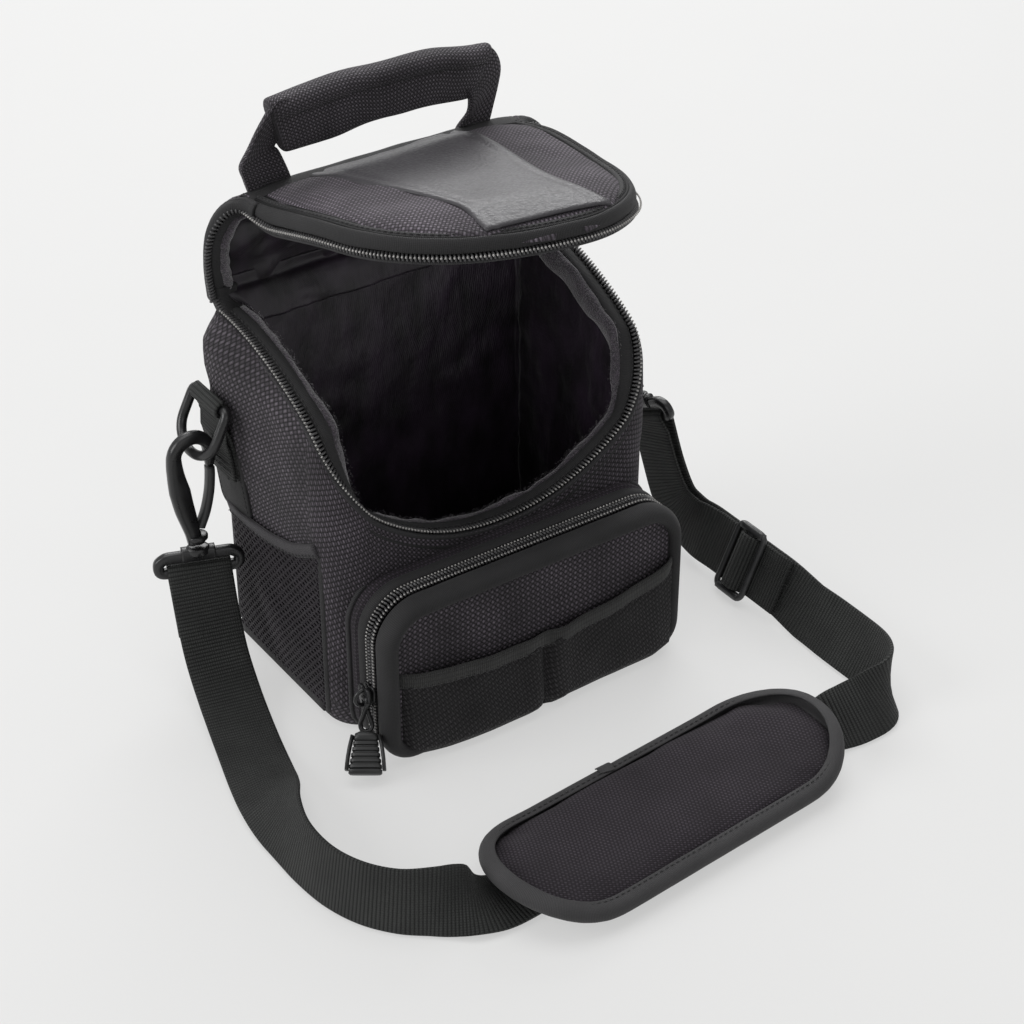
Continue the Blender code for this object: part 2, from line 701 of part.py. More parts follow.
def tab(side, suffix):
    """Webbing tab folded round the bar of its ring and sewn to the side of the bag."""
    bar = Vector((side * RING_BAR.x, RING_BAR.y, RING_BAR.z))
    wrap = RING_WIRE + GAP + 0.8
    wall = HALF_WIDTH + 0.5 + 0.7
    inner = [(wall, 87.0), (wall, 96.0), (wall + 1.5, 105.0)]
    outer = [(wall + 4.0, 104.0), (wall + 1.9, 96.0), (wall + 1.9, 87.0)]
    loop = arc((RING_BAR.x, RING_BAR.z), wrap, 215, -65, 9)
    path = [Vector((side * x, TAB_Y, z)) for x, z in inner + loop + outer]
    strip("tab_" + suffix, path, [Vector((0, 1, 0))] * len(path), TAB_WIDTH, 1.3, WEB)


def ring_bottom(side, tilt):
    """Where the middle of the ring's curved wire lies when the ring leans out by `tilt`."""
    bar = Vector((side * RING_BAR.x, RING_BAR.y, RING_BAR.z))
    hang = Vector((side * math.sin(tilt), 0, -math.cos(tilt)))
    return bar + hang * RING_DEPTH


def d_ring(side, suffix, tilt):
    bar = Vector((side * RING_BAR.x, RING_BAR.y, RING_BAR.z))
    hang = Vector((side * math.sin(tilt), 0, -math.cos(tilt)))
    half = RING_HALF - RING_WIRE
    outline = [(-half + 1.5, 0), (half - 1.5, 0), (half, 1.5), (half, RING_DEPTH - half + 3)]
    curve = arc((0, RING_DEPTH - half + 3), half, 0, 180, 12)[1:-1]
    squash = (half - 3) / half
    outline += [(u, RING_DEPTH - half + 3 + (v - RING_DEPTH + half - 3) * squash) for u, v in curve]
    outline += [(-half, RING_DEPTH - half + 3), (-half, 1.5)]
    points = [bar + Vector((0, u, 0)) + hang * v for u, v in outline]
    tube("d_ring_" + suffix, points, RING_WIRE, PLASTIC, bar, cyclic=True)


def hook_frame(wire_at, down, out):
    """Axes of a hook: `down` its length, `out` towards its spine."""
    side = (out - down * out.dot(down)).normalized()
    return lambda u, v: wire_at + side * u + down * v


def snap_hook(suffix, wire_at, down, out):
    """Hook body over the ring's wire, with its gate and the barrel that turns in the frame."""
    place = hook_frame(wire_at, down, out)
    eye = 1.5
    spine = [(1.5, HOOK_LENGTH - 3), (3.2, HOOK_LENGTH - 10), (6.4, 24), (HOOK_ARC, 12)]
    spine += [(u, eye - v) for u, v in arc((0, 0), HOOK_ARC, 0, 180, 8)]
    spine += [(-HOOK_ARC, 7.0)]
    tube("hook_" + suffix, [place(u, v) for u, v in spine], HOOK_WIRE, PLASTIC, place(0, HOOK_LENGTH))
    gate = [(-HOOK_ARC + 0.4, 10.2), (-5.2, 24), (-2.6, HOOK_LENGTH - 9)]
    tube("hook_gate_" + suffix, [place(u, v) for u, v in gate], 1.7, PLASTIC, place(-2.6, HOOK_LENGTH - 9))


def strap_frame(suffix, wire_at, down, bar):
    """Swivel barrel and rectangular frame that the webbing passes through."""
    top = wire_at + down * (HOOK_LENGTH + 4)
    low = wire_at + down * FRAME_DROP
    half = bar * (FRAME_HALF - FRAME_WIRE)
    soft = bar * 3
    tight = bar * 1.4
    points = [top - half + soft, top + half - soft, top + half + down * 2, low + half - down * 1.4]
    points += [low + half - tight, low - half + tight, low - half - down * 1.4, top - half + down * 2]
    tube("strap_frame_" + suffix, points, FRAME_WIRE, PLASTIC, top, cyclic=True)


LEFT_TILT = math.radians(27)
RIGHT_TILT = math.radians(42)
LEFT_DOWN = Vector((-0.02, 0, -1)).normalized()
RIGHT_DOWN = Vector((0.25, -0.45, -0.857)).normalized()
LEFT_BAR = Vector((0.94, -0.34, 0)).normalized()
RIGHT_BAR = square_to(Vector((0, -0.885, 0.465)), RIGHT_DOWN)


def hardware():
    tab(-1, "left")
    tab(1, "right")
    d_ring(-1, "left", LEFT_TILT)
    d_ring(1, "right", RIGHT_TILT)
    left = ring_bottom(-1, LEFT_TILT)
    right = ring_bottom(1, RIGHT_TILT)
    snap_hook("left", left, LEFT_DOWN, Vector((-1, 0, 0)))
    snap_hook("right", right, RIGHT_DOWN, Vector((1, 0, 0)))
    strap_frame("left", left, LEFT_DOWN, LEFT_BAR)
    strap_frame("right", right, RIGHT_DOWN, RIGHT_BAR)


# Strap


def strap_path():
    """Centres and across directions along the whole strap, nowhere lower than the floor."""
    centres = smooth_route([Vector(station[:3]) for station in STRAP_ROUTE], 2)
    hints = smooth_route([Vector(station[3:]) for station in STRAP_ROUTE], 2)
    across = []
    for centre, direction, hint in zip(centres, directions_along(centres), hints):
        side = (hint - direction * hint.dot(direction)).normalized()
        normal = direction.cross(side)
        lowest = abs(side.z) * WEBBING / 2 + abs(normal.z) * WEBBING_THICK / 2 + STRAP_CLEAR
        centre.z = max(centre.z, lowest)
        across.append(side)
    return centres, across


def strap():
    centres, across = strap_path()
    left_bar = ring_bottom(-1, LEFT_TILT) + LEFT_DOWN * FRAME_DROP
    right_bar = ring_bottom(1, RIGHT_TILT) + RIGHT_DOWN * FRAME_DROP
    fold = over_bar(left_bar, LEFT_BAR, centres[0])[:0:-1]
    sewn_end = fold[0] + (centres[3] - centres[0])
    webbing = [sewn_end] + fold + centres
    strip("strap_webbing", webbing, [LEFT_BAR] * (len(fold) + 1) + across, WEBBING, WEBBING_THICK, WEB)
    glide = min(range(len(centres)), key=lambda i: abs(centres[i].y - GLIDE_Y) + abs(centres[i].x - 116))
    side = across[glide]
    inward = Vector((-side.z, 0, side.x))
    middle = centres[glide]
    tri_glide(middle, side, inward)
    over = GLIDE_LIFT + GLIDE_SIZE[2] / 2 + GAP + WEBBING_THICK / 2
    edge = GLIDE_SIZE[1] / 2 + 3
    runs = ((-TAIL, LAYER), (-6.3, LAYER), (-2.4, over), (2.4, over), (6.3, LAYER), (edge, LAYER))
    path = [middle + Vector((0, y, 0)) + inward * lift for y, lift in runs]
    turns = [side] * len(path)
    travel = directions_along(centres)
    for i in range(glide, len(centres)):
        if centres[i].y > GLIDE_Y + edge + 4:
            path.append(centres[i] - travel[i].cross(across[i]) * TWISTED_LAYER)
            turns.append(across[i])
    fold = over_bar(right_bar, RIGHT_BAR, centres[-1])[:1:-1]
    path = path[:-1] + fold
    turns = turns[:-1] + [RIGHT_BAR] * len(fold)
    strip("strap_return", path, turns, WEBBING - 1.0, WEBBING_THICK, WEB, middle)


def over_bar(bar, direction, side_point, steps=8):
    """Points of the webbing going over a frame's bar from `side_point`'s side to the other side."""
    radius = FRAME_WIRE + GAP + WEBBING_THICK / 2
    away = side_point - bar
    away = (away - direction * away.dot(direction)).normalized()
    up = away.cross(direction)
    up = up if up.z > 0 else -up
    return [bar + away * radius * u + up * radius * v for u, v in arc((0, 0), 1, 0, 180, steps)]


def tri_glide(middle, side, inward):
    """Three-bar slider that the strap's returning end folds over."""
    length, width, thick = GLIDE_SIZE
    turn = Matrix((side, Vector((0, 1, 0)), inward)).transposed().to_4x4()
    place = Matrix.Translation(middle + inward * GLIDE_LIFT) @ turn
    glide = block("tri_glide", place, (length, width, thick), middle, PLASTIC)
    for step in (-1, 1):
        shift = Matrix.Translation((0, step * 4.6, 0))
        cut_with(glide, block("glide_slot", place @ shift, (27.0, 6.0, 9.0), middle, PLASTIC))


def pad_station(x, y, height):
    """A point of the shoulder pad, whose ends curve up off the strap."""
    rise = PAD_ARCH * (max(abs(x) - PAD_FLAT, 0) / (PAD_LENGTH / 2 - PAD_FLAT)) ** 2
    turn = Matrix.Rotation(PAD_TURN, 3, "Z")
    return PAD_CENTRE + turn @ Vector((x, y, height + rise))


def pad_outline(inset, steps=12):
    radius = PAD_WIDTH / 2 - inset
    reach = PAD_LENGTH / 2 - PAD_WIDTH / 2
    right = arc((reach, 0), radius, -90, 90, steps)
    middle = [(x, radius) for x in spread(reach, -reach, 4)]
    left = [(-x, -y) for x, y in right]
    return right + middle + left + [(-x, -y) for x, y in middle]


def pad():
    steps = 12
    bm = bmesh.new()
    sections = []
    radius = PAD_WIDTH / 2 - PAD_EDGE - 2 * GAP
    reach = PAD_LENGTH / 2 - PAD_WIDTH / 2
    right = [(reach + radius * math.sin(turn), radius * math.cos(turn)) for turn in spread(1.5, 0, steps)]
    halves = [(-x, half) for x, half in right] + [(0.0, radius)] + right[::-1]
    for x, half in halves:
        shape = ((-half, 0), (half, 0), (half, PAD_THICK), (-half, PAD_THICK))
        sections.append([pad_station(x, y, z) for y, z in shape])
    loft(bm, sections)
    add_mesh("pad_cushion", bm, PAD_CLOTH, PAD_CENTRE)
    centres = [pad_station(x, y, PAD_THICK / 2) for x, y in pad_outline(PAD_EDGE / 2)]
    upward = [Vector((0, 0, 1))] * len(centres)
    strip("pad_binding", centres, upward, PAD_THICK + 0.6, PAD_EDGE, TAPE_CLOTH, PAD_CENTRE, cyclic=True)
    half = WEBBING / 2 + GAP + 0.5
    low = 0.45 - PAD_CENTRE.z
    along = pad_station(1, 0, 0) - pad_station(0, 0, 0)
    for x, suffix in ((-KEEPER_AT, "left"), (KEEPER_AT, "right")):
        path = [pad_station(x, y, z) for y, z in ((half, -GAP), (half, low), (-half, low), (-half, -GAP))]
        strip("pad_keeper_" + suffix, path, [along] * 4, 12.0, 0.6, WEB, PAD_CENTRE)


def build():
    main_compartment()
    side_pocket(-1, "left")
    side_pocket(1, "right")
    lid_back()
    lid_top()
    lid_zip()
    lid_trim()
    handle()
    front_pocket()
    resting = Vector((-0.45, -0.65, -0.61))
    facing = Vector((0.82, -0.57, 0))
    zip_slider("pocket", POCKET_SLIDER, Vector((-1, 0, 0)), Vector((0, 0, 1)), 12.0, resting, facing)
    hanging = Vector((0, 0, -1))
    zip_slider("main", MAIN_SLIDER, Vector((1, 0, 0)), Vector((0, 1, 0)), 9.0, hanging, Vector((0, 1, 0)))
    hardware()
    strap()
    pad()


build()
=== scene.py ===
import math
import random

import bmesh
import bpy
from mathutils import Matrix, Vector, noise


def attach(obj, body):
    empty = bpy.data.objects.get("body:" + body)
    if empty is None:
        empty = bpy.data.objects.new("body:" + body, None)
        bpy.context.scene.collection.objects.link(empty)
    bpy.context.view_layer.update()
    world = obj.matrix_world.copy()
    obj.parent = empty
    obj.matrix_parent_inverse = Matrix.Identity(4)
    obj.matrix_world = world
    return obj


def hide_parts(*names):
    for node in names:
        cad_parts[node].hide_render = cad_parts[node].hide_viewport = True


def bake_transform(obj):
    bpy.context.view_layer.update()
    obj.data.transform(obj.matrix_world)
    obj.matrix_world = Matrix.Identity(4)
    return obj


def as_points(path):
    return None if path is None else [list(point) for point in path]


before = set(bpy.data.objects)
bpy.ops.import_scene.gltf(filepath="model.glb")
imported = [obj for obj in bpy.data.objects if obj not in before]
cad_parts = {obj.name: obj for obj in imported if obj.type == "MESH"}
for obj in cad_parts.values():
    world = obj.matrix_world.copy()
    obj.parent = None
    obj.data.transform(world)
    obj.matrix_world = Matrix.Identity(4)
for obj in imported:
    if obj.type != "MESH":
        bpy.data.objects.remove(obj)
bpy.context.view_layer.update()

# Lengths are in millimetres until a mesh is made. +X is the bag's right, -Y its front, +Z up.
MM = 0.001

# Main compartment, as in the CAD
HALF_WIDTH = 72.0
FRONT = -34.0
BACK = 55.0
CORNER = 14.0
RIM_BACK = 152.0
HINGE_RISE = 5.0
RIM_SIDE_FRONT = 130.5
RIM_FRONT_END = 98.0
RIM_FRONT_MIDDLE = 75.0

# Lid
FOOT = Vector((0, 55.013, 155.775))
INWARD = Vector((0, -0.97515, -0.22155))
UPWARD = Vector((0, -0.22155, 0.97515))
FORWARD = Vector((0, -0.99098, 0.13399))
NORMAL = Vector((0, 0.13399, 0.99098))
PANEL_RISE = 40.5
RIDGE = FOOT + UPWARD * PANEL_RISE
FOLD_AT = 51.0

# Front pocket
POCKET_HALF = 69.0
POCKET_LOW = 1.0
POCKET_HIGH = 71.0

# Strap
WEBBING = 25.0
WEBBING_THICK = 1.6

# Axes of the bag
ACROSS = Vector((1, 0, 0))
REARWARD = Vector((0, 1, 0))
UP = Vector((0, 0, 1))


# Small tools


def arc(centre, radius, start, end, steps):
    """Points (u, v) on an arc, angles in degrees."""
    found = []
    for i in range(steps + 1):
        angle = math.radians(start + (end - start) * i / steps)
        found.append((centre[0] + radius * math.cos(angle), centre[1] + radius * math.sin(angle)))
    return found


def blended(a, b, share):
    """The value or point that lies `share` of the way from a to b."""
    return a + (b - a) * share


def spaced(low, high, steps):
    """Even values from low to high, both included."""
    return [blended(low, high, i / steps) for i in range(steps + 1)]


def grid(downs, acrosses, place):
    """Rows of points for a surface, each from place(down, across)."""
    return [[place(down, across) for across in acrosses] for down in downs]


def turned(lines):
    """Lines along a shape, as the rows of points that cross them."""
    return [list(row) for row in zip(*lines)]


def random_step(draw, size):
    """A short step in a random direction, at most `size` along each axis."""
    return Vector((draw.uniform(-1, 1), draw.uniform(-1, 1), draw.uniform(-1, 1))) * size


def eased(value, low, high):
    """0 below low, 1 above high, smooth between."""
    share = min(max((value - low) / (high - low), 0.0), 1.0)
    return share * share * (3 - 2 * share)


def ruffle(point, size, amount, seed=0.0):
    """A smooth wandering value at a point, for folds about `size` across."""
    return amount * noise.noise(point / size + Vector((seed, seed * 1.7, -seed)))


def length_of(points):
    """The length of a path."""
    return sum((b - a).length for a, b in zip(points, points[1:]))


def box_outline(half_wide, half_high, corner):
    """Points (u, v) round a rectangle with rounded corners."""
    found = []
    for a, b, start in ((-1, -1, 180), (1, -1, 270), (1, 1, 0), (-1, 1, 90)):
        middle = (a * (half_wide - corner), b * (half_high - corner))
        found += arc(middle, corner, start, start + 90, 5)
    return found


def oval(centre, first, second):
    """Points round an oval whose half axes are `first` and `second`."""
    angles = [2 * math.pi * i / 18 for i in range(18)]
    return [centre + first * math.cos(t) + second * math.sin(t) for t in angles]


def resampled(points, step, closed=False):
    """Evenly spaced points along a path."""
    line = points + [points[0]] if closed else points
    marks = [0.0]
    for a, b in zip(line, line[1:]):
        marks.append(marks[-1] + (b - a).length)
    count = max(2, round(marks[-1] / step))
    found = []
    at = 0
    for i in range(count if closed else count + 1):
        want = marks[-1] * i / count
        while at < len(line) - 2 and marks[at + 1] < want:
            at += 1
        span = max(marks[at + 1] - marks[at], 1e-9)
        found.append(line[at].lerp(line[at + 1], (want - marks[at]) / span))
    return found


def softened(points, passes, closed=False):
    """The same points with their bends rounded."""
    line = [p.copy() for p in points]
    for _ in range(passes):
        fresh = [p.copy() for p in line]
        for i in range(0 if closed else 1, len(line) if closed else len(line) - 1):
            fresh[i] = (line[i - 1] + line[i] * 2 + line[(i + 1) % len(line)]) / 4
        line = fresh
    return line


def curved(points, per_span):
    """Points on the smooth curve (Catmull-Rom) through the given ones."""
    found = []
    ends = [points[0]] + list(points) + [points[-1]]
    for before, start, end, after in zip(ends, ends[1:], ends[2:], ends[3:]):
        for i in range(per_span):
            t = i / per_span
            bend = 2 * before - 5 * start + 4 * end - after
            swing = 3 * start - 3 * end + after - before
            found.append((2 * start + (end - before) * t + bend * t * t + swing * t**3) / 2)
    found.append(points[-1].copy())
    return found


def travel(points, closed=False):
    """Unit direction at each point of a path."""
    count = len(points)
    found = []
    for i in range(count):
        after = points[(i + 1) % count] if closed else points[min(i + 1, count - 1)]
        before = points[i - 1] if closed else points[max(i - 1, 0)]
        found.append((after - before).normalized())
    return found


def square_to(direction, other):
    """The part of a direction that is square to another, as a unit vector."""
    return (direction - other * direction.dot(other)).normalized()


# Meshes


def add_mesh(name, points, faces, material, corners=None):
    """An object from millimetre points. `corners` gives each face's UVs, in millimetres."""
    mesh = bpy.data.meshes.new(name)
    mesh.from_pydata([p * MM for p in points], [], faces)
    layer = mesh.uv_layers.new(name="weave")
    if corners:
        flat = [c * MM for face in corners for uv in face for c in uv]
        layer.data.foreach_set("uv", flat)
    mesh.materials.append(material)
    mesh.shade_smooth()
    made = bpy.data.objects.new(name, mesh)
    bpy.context.scene.collection.objects.link(made)
    return made


def skin(name, rows, material, wrap=False, loop=False, caps=False, uv=None):
    """A surface through rows of points. wrap joins each row's ends, loop joins last row to first."""
    count = len(rows)
    width = len(rows[0])
    across = []
    for i in range(count + 1):
        row = rows[i % count]
        marks = [0.0]
        for j in range(width):
            marks.append(marks[-1] + (row[(j + 1) % width] - row[j]).length)
        middle = 0 if wrap else marks[width - 1] / 2
        across.append([m - middle for m in marks])
    down = [0.0]
    for i in range(count):
        near, far = rows[i], rows[(i + 1) % count]
        down.append(down[-1] + sum((b - a).length for a, b in zip(near, far)) / width)
    faces = []
    corners = []
    for i in range(count if loop else count - 1):
        for j in range(width if wrap else width - 1):
            ring = ((i, j), (i, j + 1), (i + 1, j + 1), (i + 1, j))
            faces.append([(a % count) * width + b % width for a, b in ring])
            if uv:
                corners.append([uv(a % count, b % width) for a, b in ring])
            else:
                corners.append([(across[a][b], down[a]) for a, b in ring])
    if caps:
        faces.append(list(range(width))[::-1])
        faces.append([(count - 1) * width + j for j in range(width)])
        for row in (rows[0][::-1], rows[-1]):
            corners.append([(p.x + p.y, p.z + p.y) for p in row])
    return add_mesh(name, [p for row in rows for p in row], faces, material, corners)


def thick(piece, thickness, offset=-1):
    """Gives an open cloth surface its thickness."""
    modifier = piece.modifiers.new("thickness", "SOLIDIFY")
    modifier.thickness = thickness * MM
    modifier.offset = offset
    return piece


def rounded(piece):
    """Smooths a piece once by subdivision."""
    modifier = piece.modifiers.new("smooth", "SUBSURF")
    modifier.levels = 1
    modifier.render_levels = 1
    return piece


def sweep(name, path, profile, material, hints, closed=False, scale=None):
    """A closed profile (along the hint, square to it) carried along a path.

    `scale` takes the share of the path gone and gives the profile's (wide, deep) factors there.
    """
    if isinstance(hints, Vector):
        hints = [hints] * len(path)
    rows = []
    for i, (point, ahead, hint) in enumerate(zip(path, travel(path, closed), hints)):
        side = square_to(hint, ahead)
        up = ahead.cross(side)
        wide, deep = scale(i / (len(path) - 1)) if scale else (1.0, 1.0)
        rows.append([point + side * a * wide + up * b * deep for a, b in profile])
    return skin(name, rows, material, wrap=True, loop=closed, caps=not closed)


def round_profile(width, height, steps=12, power=1.0):
    """An oval; a power under 1 makes it squarer."""
    found = []
    for i in range(steps):
        angle = 2 * math.pi * i / steps
        c, s = math.cos(angle), math.sin(angle)
        wide = math.copysign(abs(c) ** power, c)
        deep = math.copysign(abs(s) ** power, s)
        found.append((width / 2 * wide, height / 2 * deep))
    return found


def flat_profile(width, height, steps=6, edge=0.5):
    """A wide thin band with rounded edges, its width along the first axis."""
    half = width / 2 - edge
    top = [(blended(half, -half, i / steps), height / 2) for i in range(steps + 1)]
    low = [(-x, -y) for x, y in top]
    tip = height / 3
    return top + [(-width / 2, tip), (-width / 2, -tip)] + low + [(width / 2, -tip), (width / 2, tip)]


def band(name, path, width, height, material, hints, steps=6):
    """Tape or webbing along a path; the hints give the direction across it."""
    profile = flat_profile(width, height, steps, min(0.5, height / 2))
    return sweep(name, path, profile, material, hints)


def pipe(name, path, radius, material, closed=False, steps=10):
    """A round cord or wire along a path."""
    hints = [Vector((0.31, 0.23, 0.92))]
    for ahead in travel(path, closed):
        last = hints[-1]
        side = last - ahead * last.dot(ahead)
        hints.append(side.normalized() if side.length > 0.05 else ahead.orthogonal().normalized())
    profile = round_profile(2 * radius, 2 * radius, steps)
    return sweep(name, path, profile, material, hints[1:], closed)


def bead(length, width, height, rings=4, sides=6):
    """Points and faces of a small rounded grain, its length along the first axis."""
    points = [Vector((-length / 2, 0, 0))]
    for i in range(1, rings):
        angle = math.pi * i / rings
        for j in range(sides):
            turn = 2 * math.pi * j / sides
            x = -length / 2 * math.cos(angle)
            r = math.sin(angle) ** 0.6
            points.append(Vector((x, width / 2 * r * math.cos(turn), height / 2 * r * math.sin(turn))))
    points.append(Vector((length / 2, 0, 0)))
    last = len(points) - 1
    faces = []
    for j in range(sides):
        k = (j + 1) % sides
        faces.append([0, 1 + k, 1 + j])
        for i in range(rings - 2):
            a = 1 + i * sides
            faces.append([a + j, a + k, a + sides + k, a + sides + j])
        faces.append([last - sides + j, last - sides + k, last])
    return points, faces


def repeated(name, unit, places, material):
    """One mesh of many copies of a small shape, each placed by (point, first axis, second axis)."""
    points = []
    faces = []
    for at, first, second in places:
        third = first.cross(second)
        base = len(points)
        points += [at + first * p.x + second * p.y + third * p.z for p in unit[0]]
        faces += [[base + k for k in face] for face in unit[1]]
    return add_mesh(name, points, faces, material)


def teeth(name, path, out, material, pitch=1.5, size=(2.2, 1.0, 1.3), closed=False, slant=0.0):
    """Zip coil: a row of rounded teeth across the path. `out` points along each tooth."""
    line = resampled(path, pitch, closed)
    ways = travel(line, closed)
    outs = out if callable(out) else (lambda point: out)
    places = []
    for point, ahead in zip(line, ways):
        first = square_to(outs(point), ahead)
        first = (first + ahead * slant).normalized()
        places.append((point, first, square_to(ahead, first)))
    return repeated(name, bead(*size), places, material)


def stitches(name, path, up, pitch=3.0, length=2.1, width=0.42, closed=False):
    """A line of thread: short grains lying along the path."""
    line = resampled(path, pitch, closed)
    ups = up if callable(up) else (lambda point: up)
    places = []
    for point, ahead in zip(line, travel(line, closed)):
        places.append((point, ahead, square_to(ups(point), ahead)))
    return repeated(name, bead(length, width, width), places, THREAD)


def away_from(line, inner):
    """A function of a point: the way from the inner line to the outer one beside it."""

    def out(point):
        nearest = min(range(len(line)), key=lambda i: (line[i] - point).length_squared)
        return line[nearest] - inner[nearest]

    return out


def baked(piece):
    """Replaces a piece's mesh by what its modifiers make of it."""
    graph = bpy.context.evaluated_depsgraph_get()
    mesh = bpy.data.meshes.new_from_object(piece.evaluated_get(graph), depsgraph=graph)
    piece.modifiers.clear()
    piece.data = mesh
    return piece


def inflated(piece, voxel, cap, hold):
    """Cloth simulation: the closed shape is remeshed and swells like a stuffed case.

    A point moves by at most `cap`, and by the share that hold(point) gives.
    """
    remesh = piece.modifiers.new("remesh", "REMESH")
    remesh.mode = "VOXEL"
    remesh.voxel_size = voxel * MM
    baked(piece)
    start = [v.co.copy() for v in piece.data.vertices]
    cloth = piece.modifiers.new("cloth", "CLOTH")
    cloth.settings.quality = 5
    cloth.settings.mass = 0.2
    cloth.settings.tension_stiffness = 18
    cloth.settings.compression_stiffness = 18
    cloth.settings.bending_stiffness = 2.0
    cloth.settings.use_pressure = True
    cloth.settings.uniform_pressure_force = 4.0
    cloth.settings.effector_weights.gravity = 0
    cloth.collision_settings.use_collision = False
    cloth.point_cache.frame_end = 20
    for number in range(1, 21):
        bpy.context.scene.frame_set(number)
    graph = bpy.context.evaluated_depsgraph_get()
    swollen = [v.co.copy() for v in piece.evaluated_get(graph).data.vertices]
    piece.modifiers.clear()
    bpy.context.scene.frame_set(1)
    for vertex, old, new in zip(piece.data.vertices, start, swollen):
        move = (new - old) * hold(old / MM)
        if move.length > cap * MM:
            move *= cap * MM / move.length
        vertex.co = old + move
    smooth = piece.modifiers.new("relax", "SMOOTH")
    smooth.iterations = 4
    baked(piece)
    piece.data.shade_smooth()
    return piece


def map_cloth(piece, place):
    """Lays the weave on a mesh: place(point, normal) gives (u, v) in millimetres."""
    mesh = piece.data
    layer = mesh.uv_layers.active or mesh.uv_layers.new(name="weave")
    for polygon in mesh.polygons:
        for index in polygon.loop_indices:
            point = mesh.vertices[mesh.loops[index].vertex_index].co / MM
            u, v = place(point, polygon.normal)
            layer.data[index].uv = (u * MM, v * MM)


def wear(piece, body, slot, *nodes):
    """The piece rides on a body and hides the CAD nodes that it stands for. The slot is not used."""
    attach(piece, body)
    if nodes:
        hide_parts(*nodes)
    return piece


def bend(piece, first, second, start, end, slot, *nodes):
    """Bakes the piece's placement into its mesh and hides the CAD nodes that it stands for; it does not bend.
    first, second, start, end and slot are not used.
    """
    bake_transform(piece)
    if nodes:
        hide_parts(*nodes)
    return piece


# Materials


class Shade:
    """A node material being put together. Lengths in its textures are millimetres."""

    def __init__(self, name):
        self.material = bpy.data.materials.new(name)
        self.material.use_nodes = True
        self.tree = self.material.node_tree
        self.shader = self.tree.nodes["Principled BSDF"]

    def node(self, kind, inputs=(), **settings):
        """A node with its settings; an input takes a value or a link."""
        made = self.tree.nodes.new("ShaderNode" + kind)
        for key, value in settings.items():
            setattr(made, key, value)
        for key, value in inputs:
            if isinstance(value, bpy.types.NodeSocket):
                self.tree.links.new(value, made.inputs[key])
            else:
                made.inputs[key].default_value = value
        return made

    def math(self, operation, *values):
        return self.node("Math", list(enumerate(values)), operation=operation).outputs[0]

    def wave(self, value, pitch):
        """A sine that repeats every two pitches."""
        return self.math("SINE", self.math("MULTIPLY", value, math.pi / pitch))

    def uv(self, turn=0.0):
        """The cloth's own coordinates in millimetres, turned by degrees."""
        source = self.node("TexCoord").outputs["UV"]
        inputs = [("Vector", source), ("Scale", (1 / MM,) * 3), ("Rotation", (0, 0, math.radians(turn)))]
        placed = self.node("Mapping", inputs)
        parts = self.node("SeparateXYZ", [("Vector", placed.outputs[0])])
        return parts.outputs[0], parts.outputs[1]

    def noise(self, size, detail=3.0, stretch=(1, 1, 1)):
        """Noise whose features are about `size` mm across."""
        source = self.node("TexCoord").outputs["Object"]
        inputs = [("Vector", source), ("Scale", tuple(s / MM for s in stretch))]
        placed = self.node("Mapping", inputs)
        inputs = [("Vector", placed.outputs[0]), ("Scale", 1 / size), ("Detail", detail)]
        return self.node("TexNoise", inputs).outputs[0]

    def spread(self, value, low, high, to_low, to_high):
        """The value, mapped from one range to another."""
        names = ("Value", "From Min", "From Max", "To Min", "To Max")
        inputs = list(zip(names, (value, low, high, to_low, to_high)))
        return self.node("MapRange", inputs).outputs[0]

    def mix(self, share, first, second):
        """A colour between two."""
        made = self.node("Mix", data_type="RGBA")
        for index, value in ((0, share), (6, first), (7, second)):
            if isinstance(value, bpy.types.NodeSocket):
                self.tree.links.new(value, made.inputs[index])
            else:
                made.inputs[index].default_value = value if index == 0 else (*value, 1)
        return made.outputs[2]

    def bump(self, height, distance, normal=None, strength=1.0):
        inputs = [("Height", height), ("Distance", distance * MM), ("Strength", strength)]
        if normal:
            inputs.append(("Normal", normal))
        return self.node("Bump", inputs).outputs[0]

    def finish(self, colour, roughness, normal, **uniform):
        """Wires up the shader and gives the material."""
        for key, value in (("Base Color", colour), ("Roughness", roughness), ("Normal", normal)):
            if isinstance(value, bpy.types.NodeSocket):
                self.tree.links.new(value, self.shader.inputs[key])
            elif key == "Base Color":
                self.shader.inputs[key].default_value = (*value, 1)
            else:
                self.shader.inputs[key].default_value = value
        for key, value in uniform.items():
            self.shader.inputs[key.replace("_", " ")].default_value = value
        return self.material


def woven(name, dark, light, cell, turn=45.0, depth=0.25, sheen=0.15, rough=0.72):
    """Cloth of crossing threads: fat rounded cells in a slanting lattice, with painted shade in the gaps
    between them and a painted highlight on their crowns.
    """
    shade = Shade(name)
    u, v = shade.uv(turn)
    crossed = shade.math("MULTIPLY", shade.wave(u, cell[0]), shade.wave(v, cell[1]))
    pillow = shade.math("POWER", shade.math("ABSOLUTE", crossed), 0.8)
    over = shade.spread(crossed, -0.1, 0.1, 0.42, 1.0)
    lift = shade.math("MULTIPLY", pillow, over)
    fibre = shade.noise(0.3, 2.0)
    worn = shade.noise(22.0, 3.0)
    raised = shade.math("MULTIPLY_ADD", fibre, 0.3, lift)
    tone = shade.math("MULTIPLY", lift, shade.spread(worn, 0.3, 0.7, 0.5, 1.15))
    tone = shade.math("MULTIPLY", tone, shade.spread(fibre, 0.3, 0.7, 0.6, 1.2))
    # Colour follows the cells' height: the lighter crowns are a painted highlight and the darker gaps painted
    # shade; the wear and fibre noise is random tone.
    colour = shade.mix(tone, dark, light)
    roughness = shade.spread(lift, 0.0, 1.0, min(rough + 0.15, 1.0), rough)
    normal = shade.bump(raised, depth)
    normal = shade.bump(worn, 0.5, normal, 0.3)
    soft = {"Sheen_Weight": sheen, "Sheen_Roughness": 0.4, "Specular_IOR_Level": 0.35}
    return shade.finish(colour, roughness, normal, **soft)


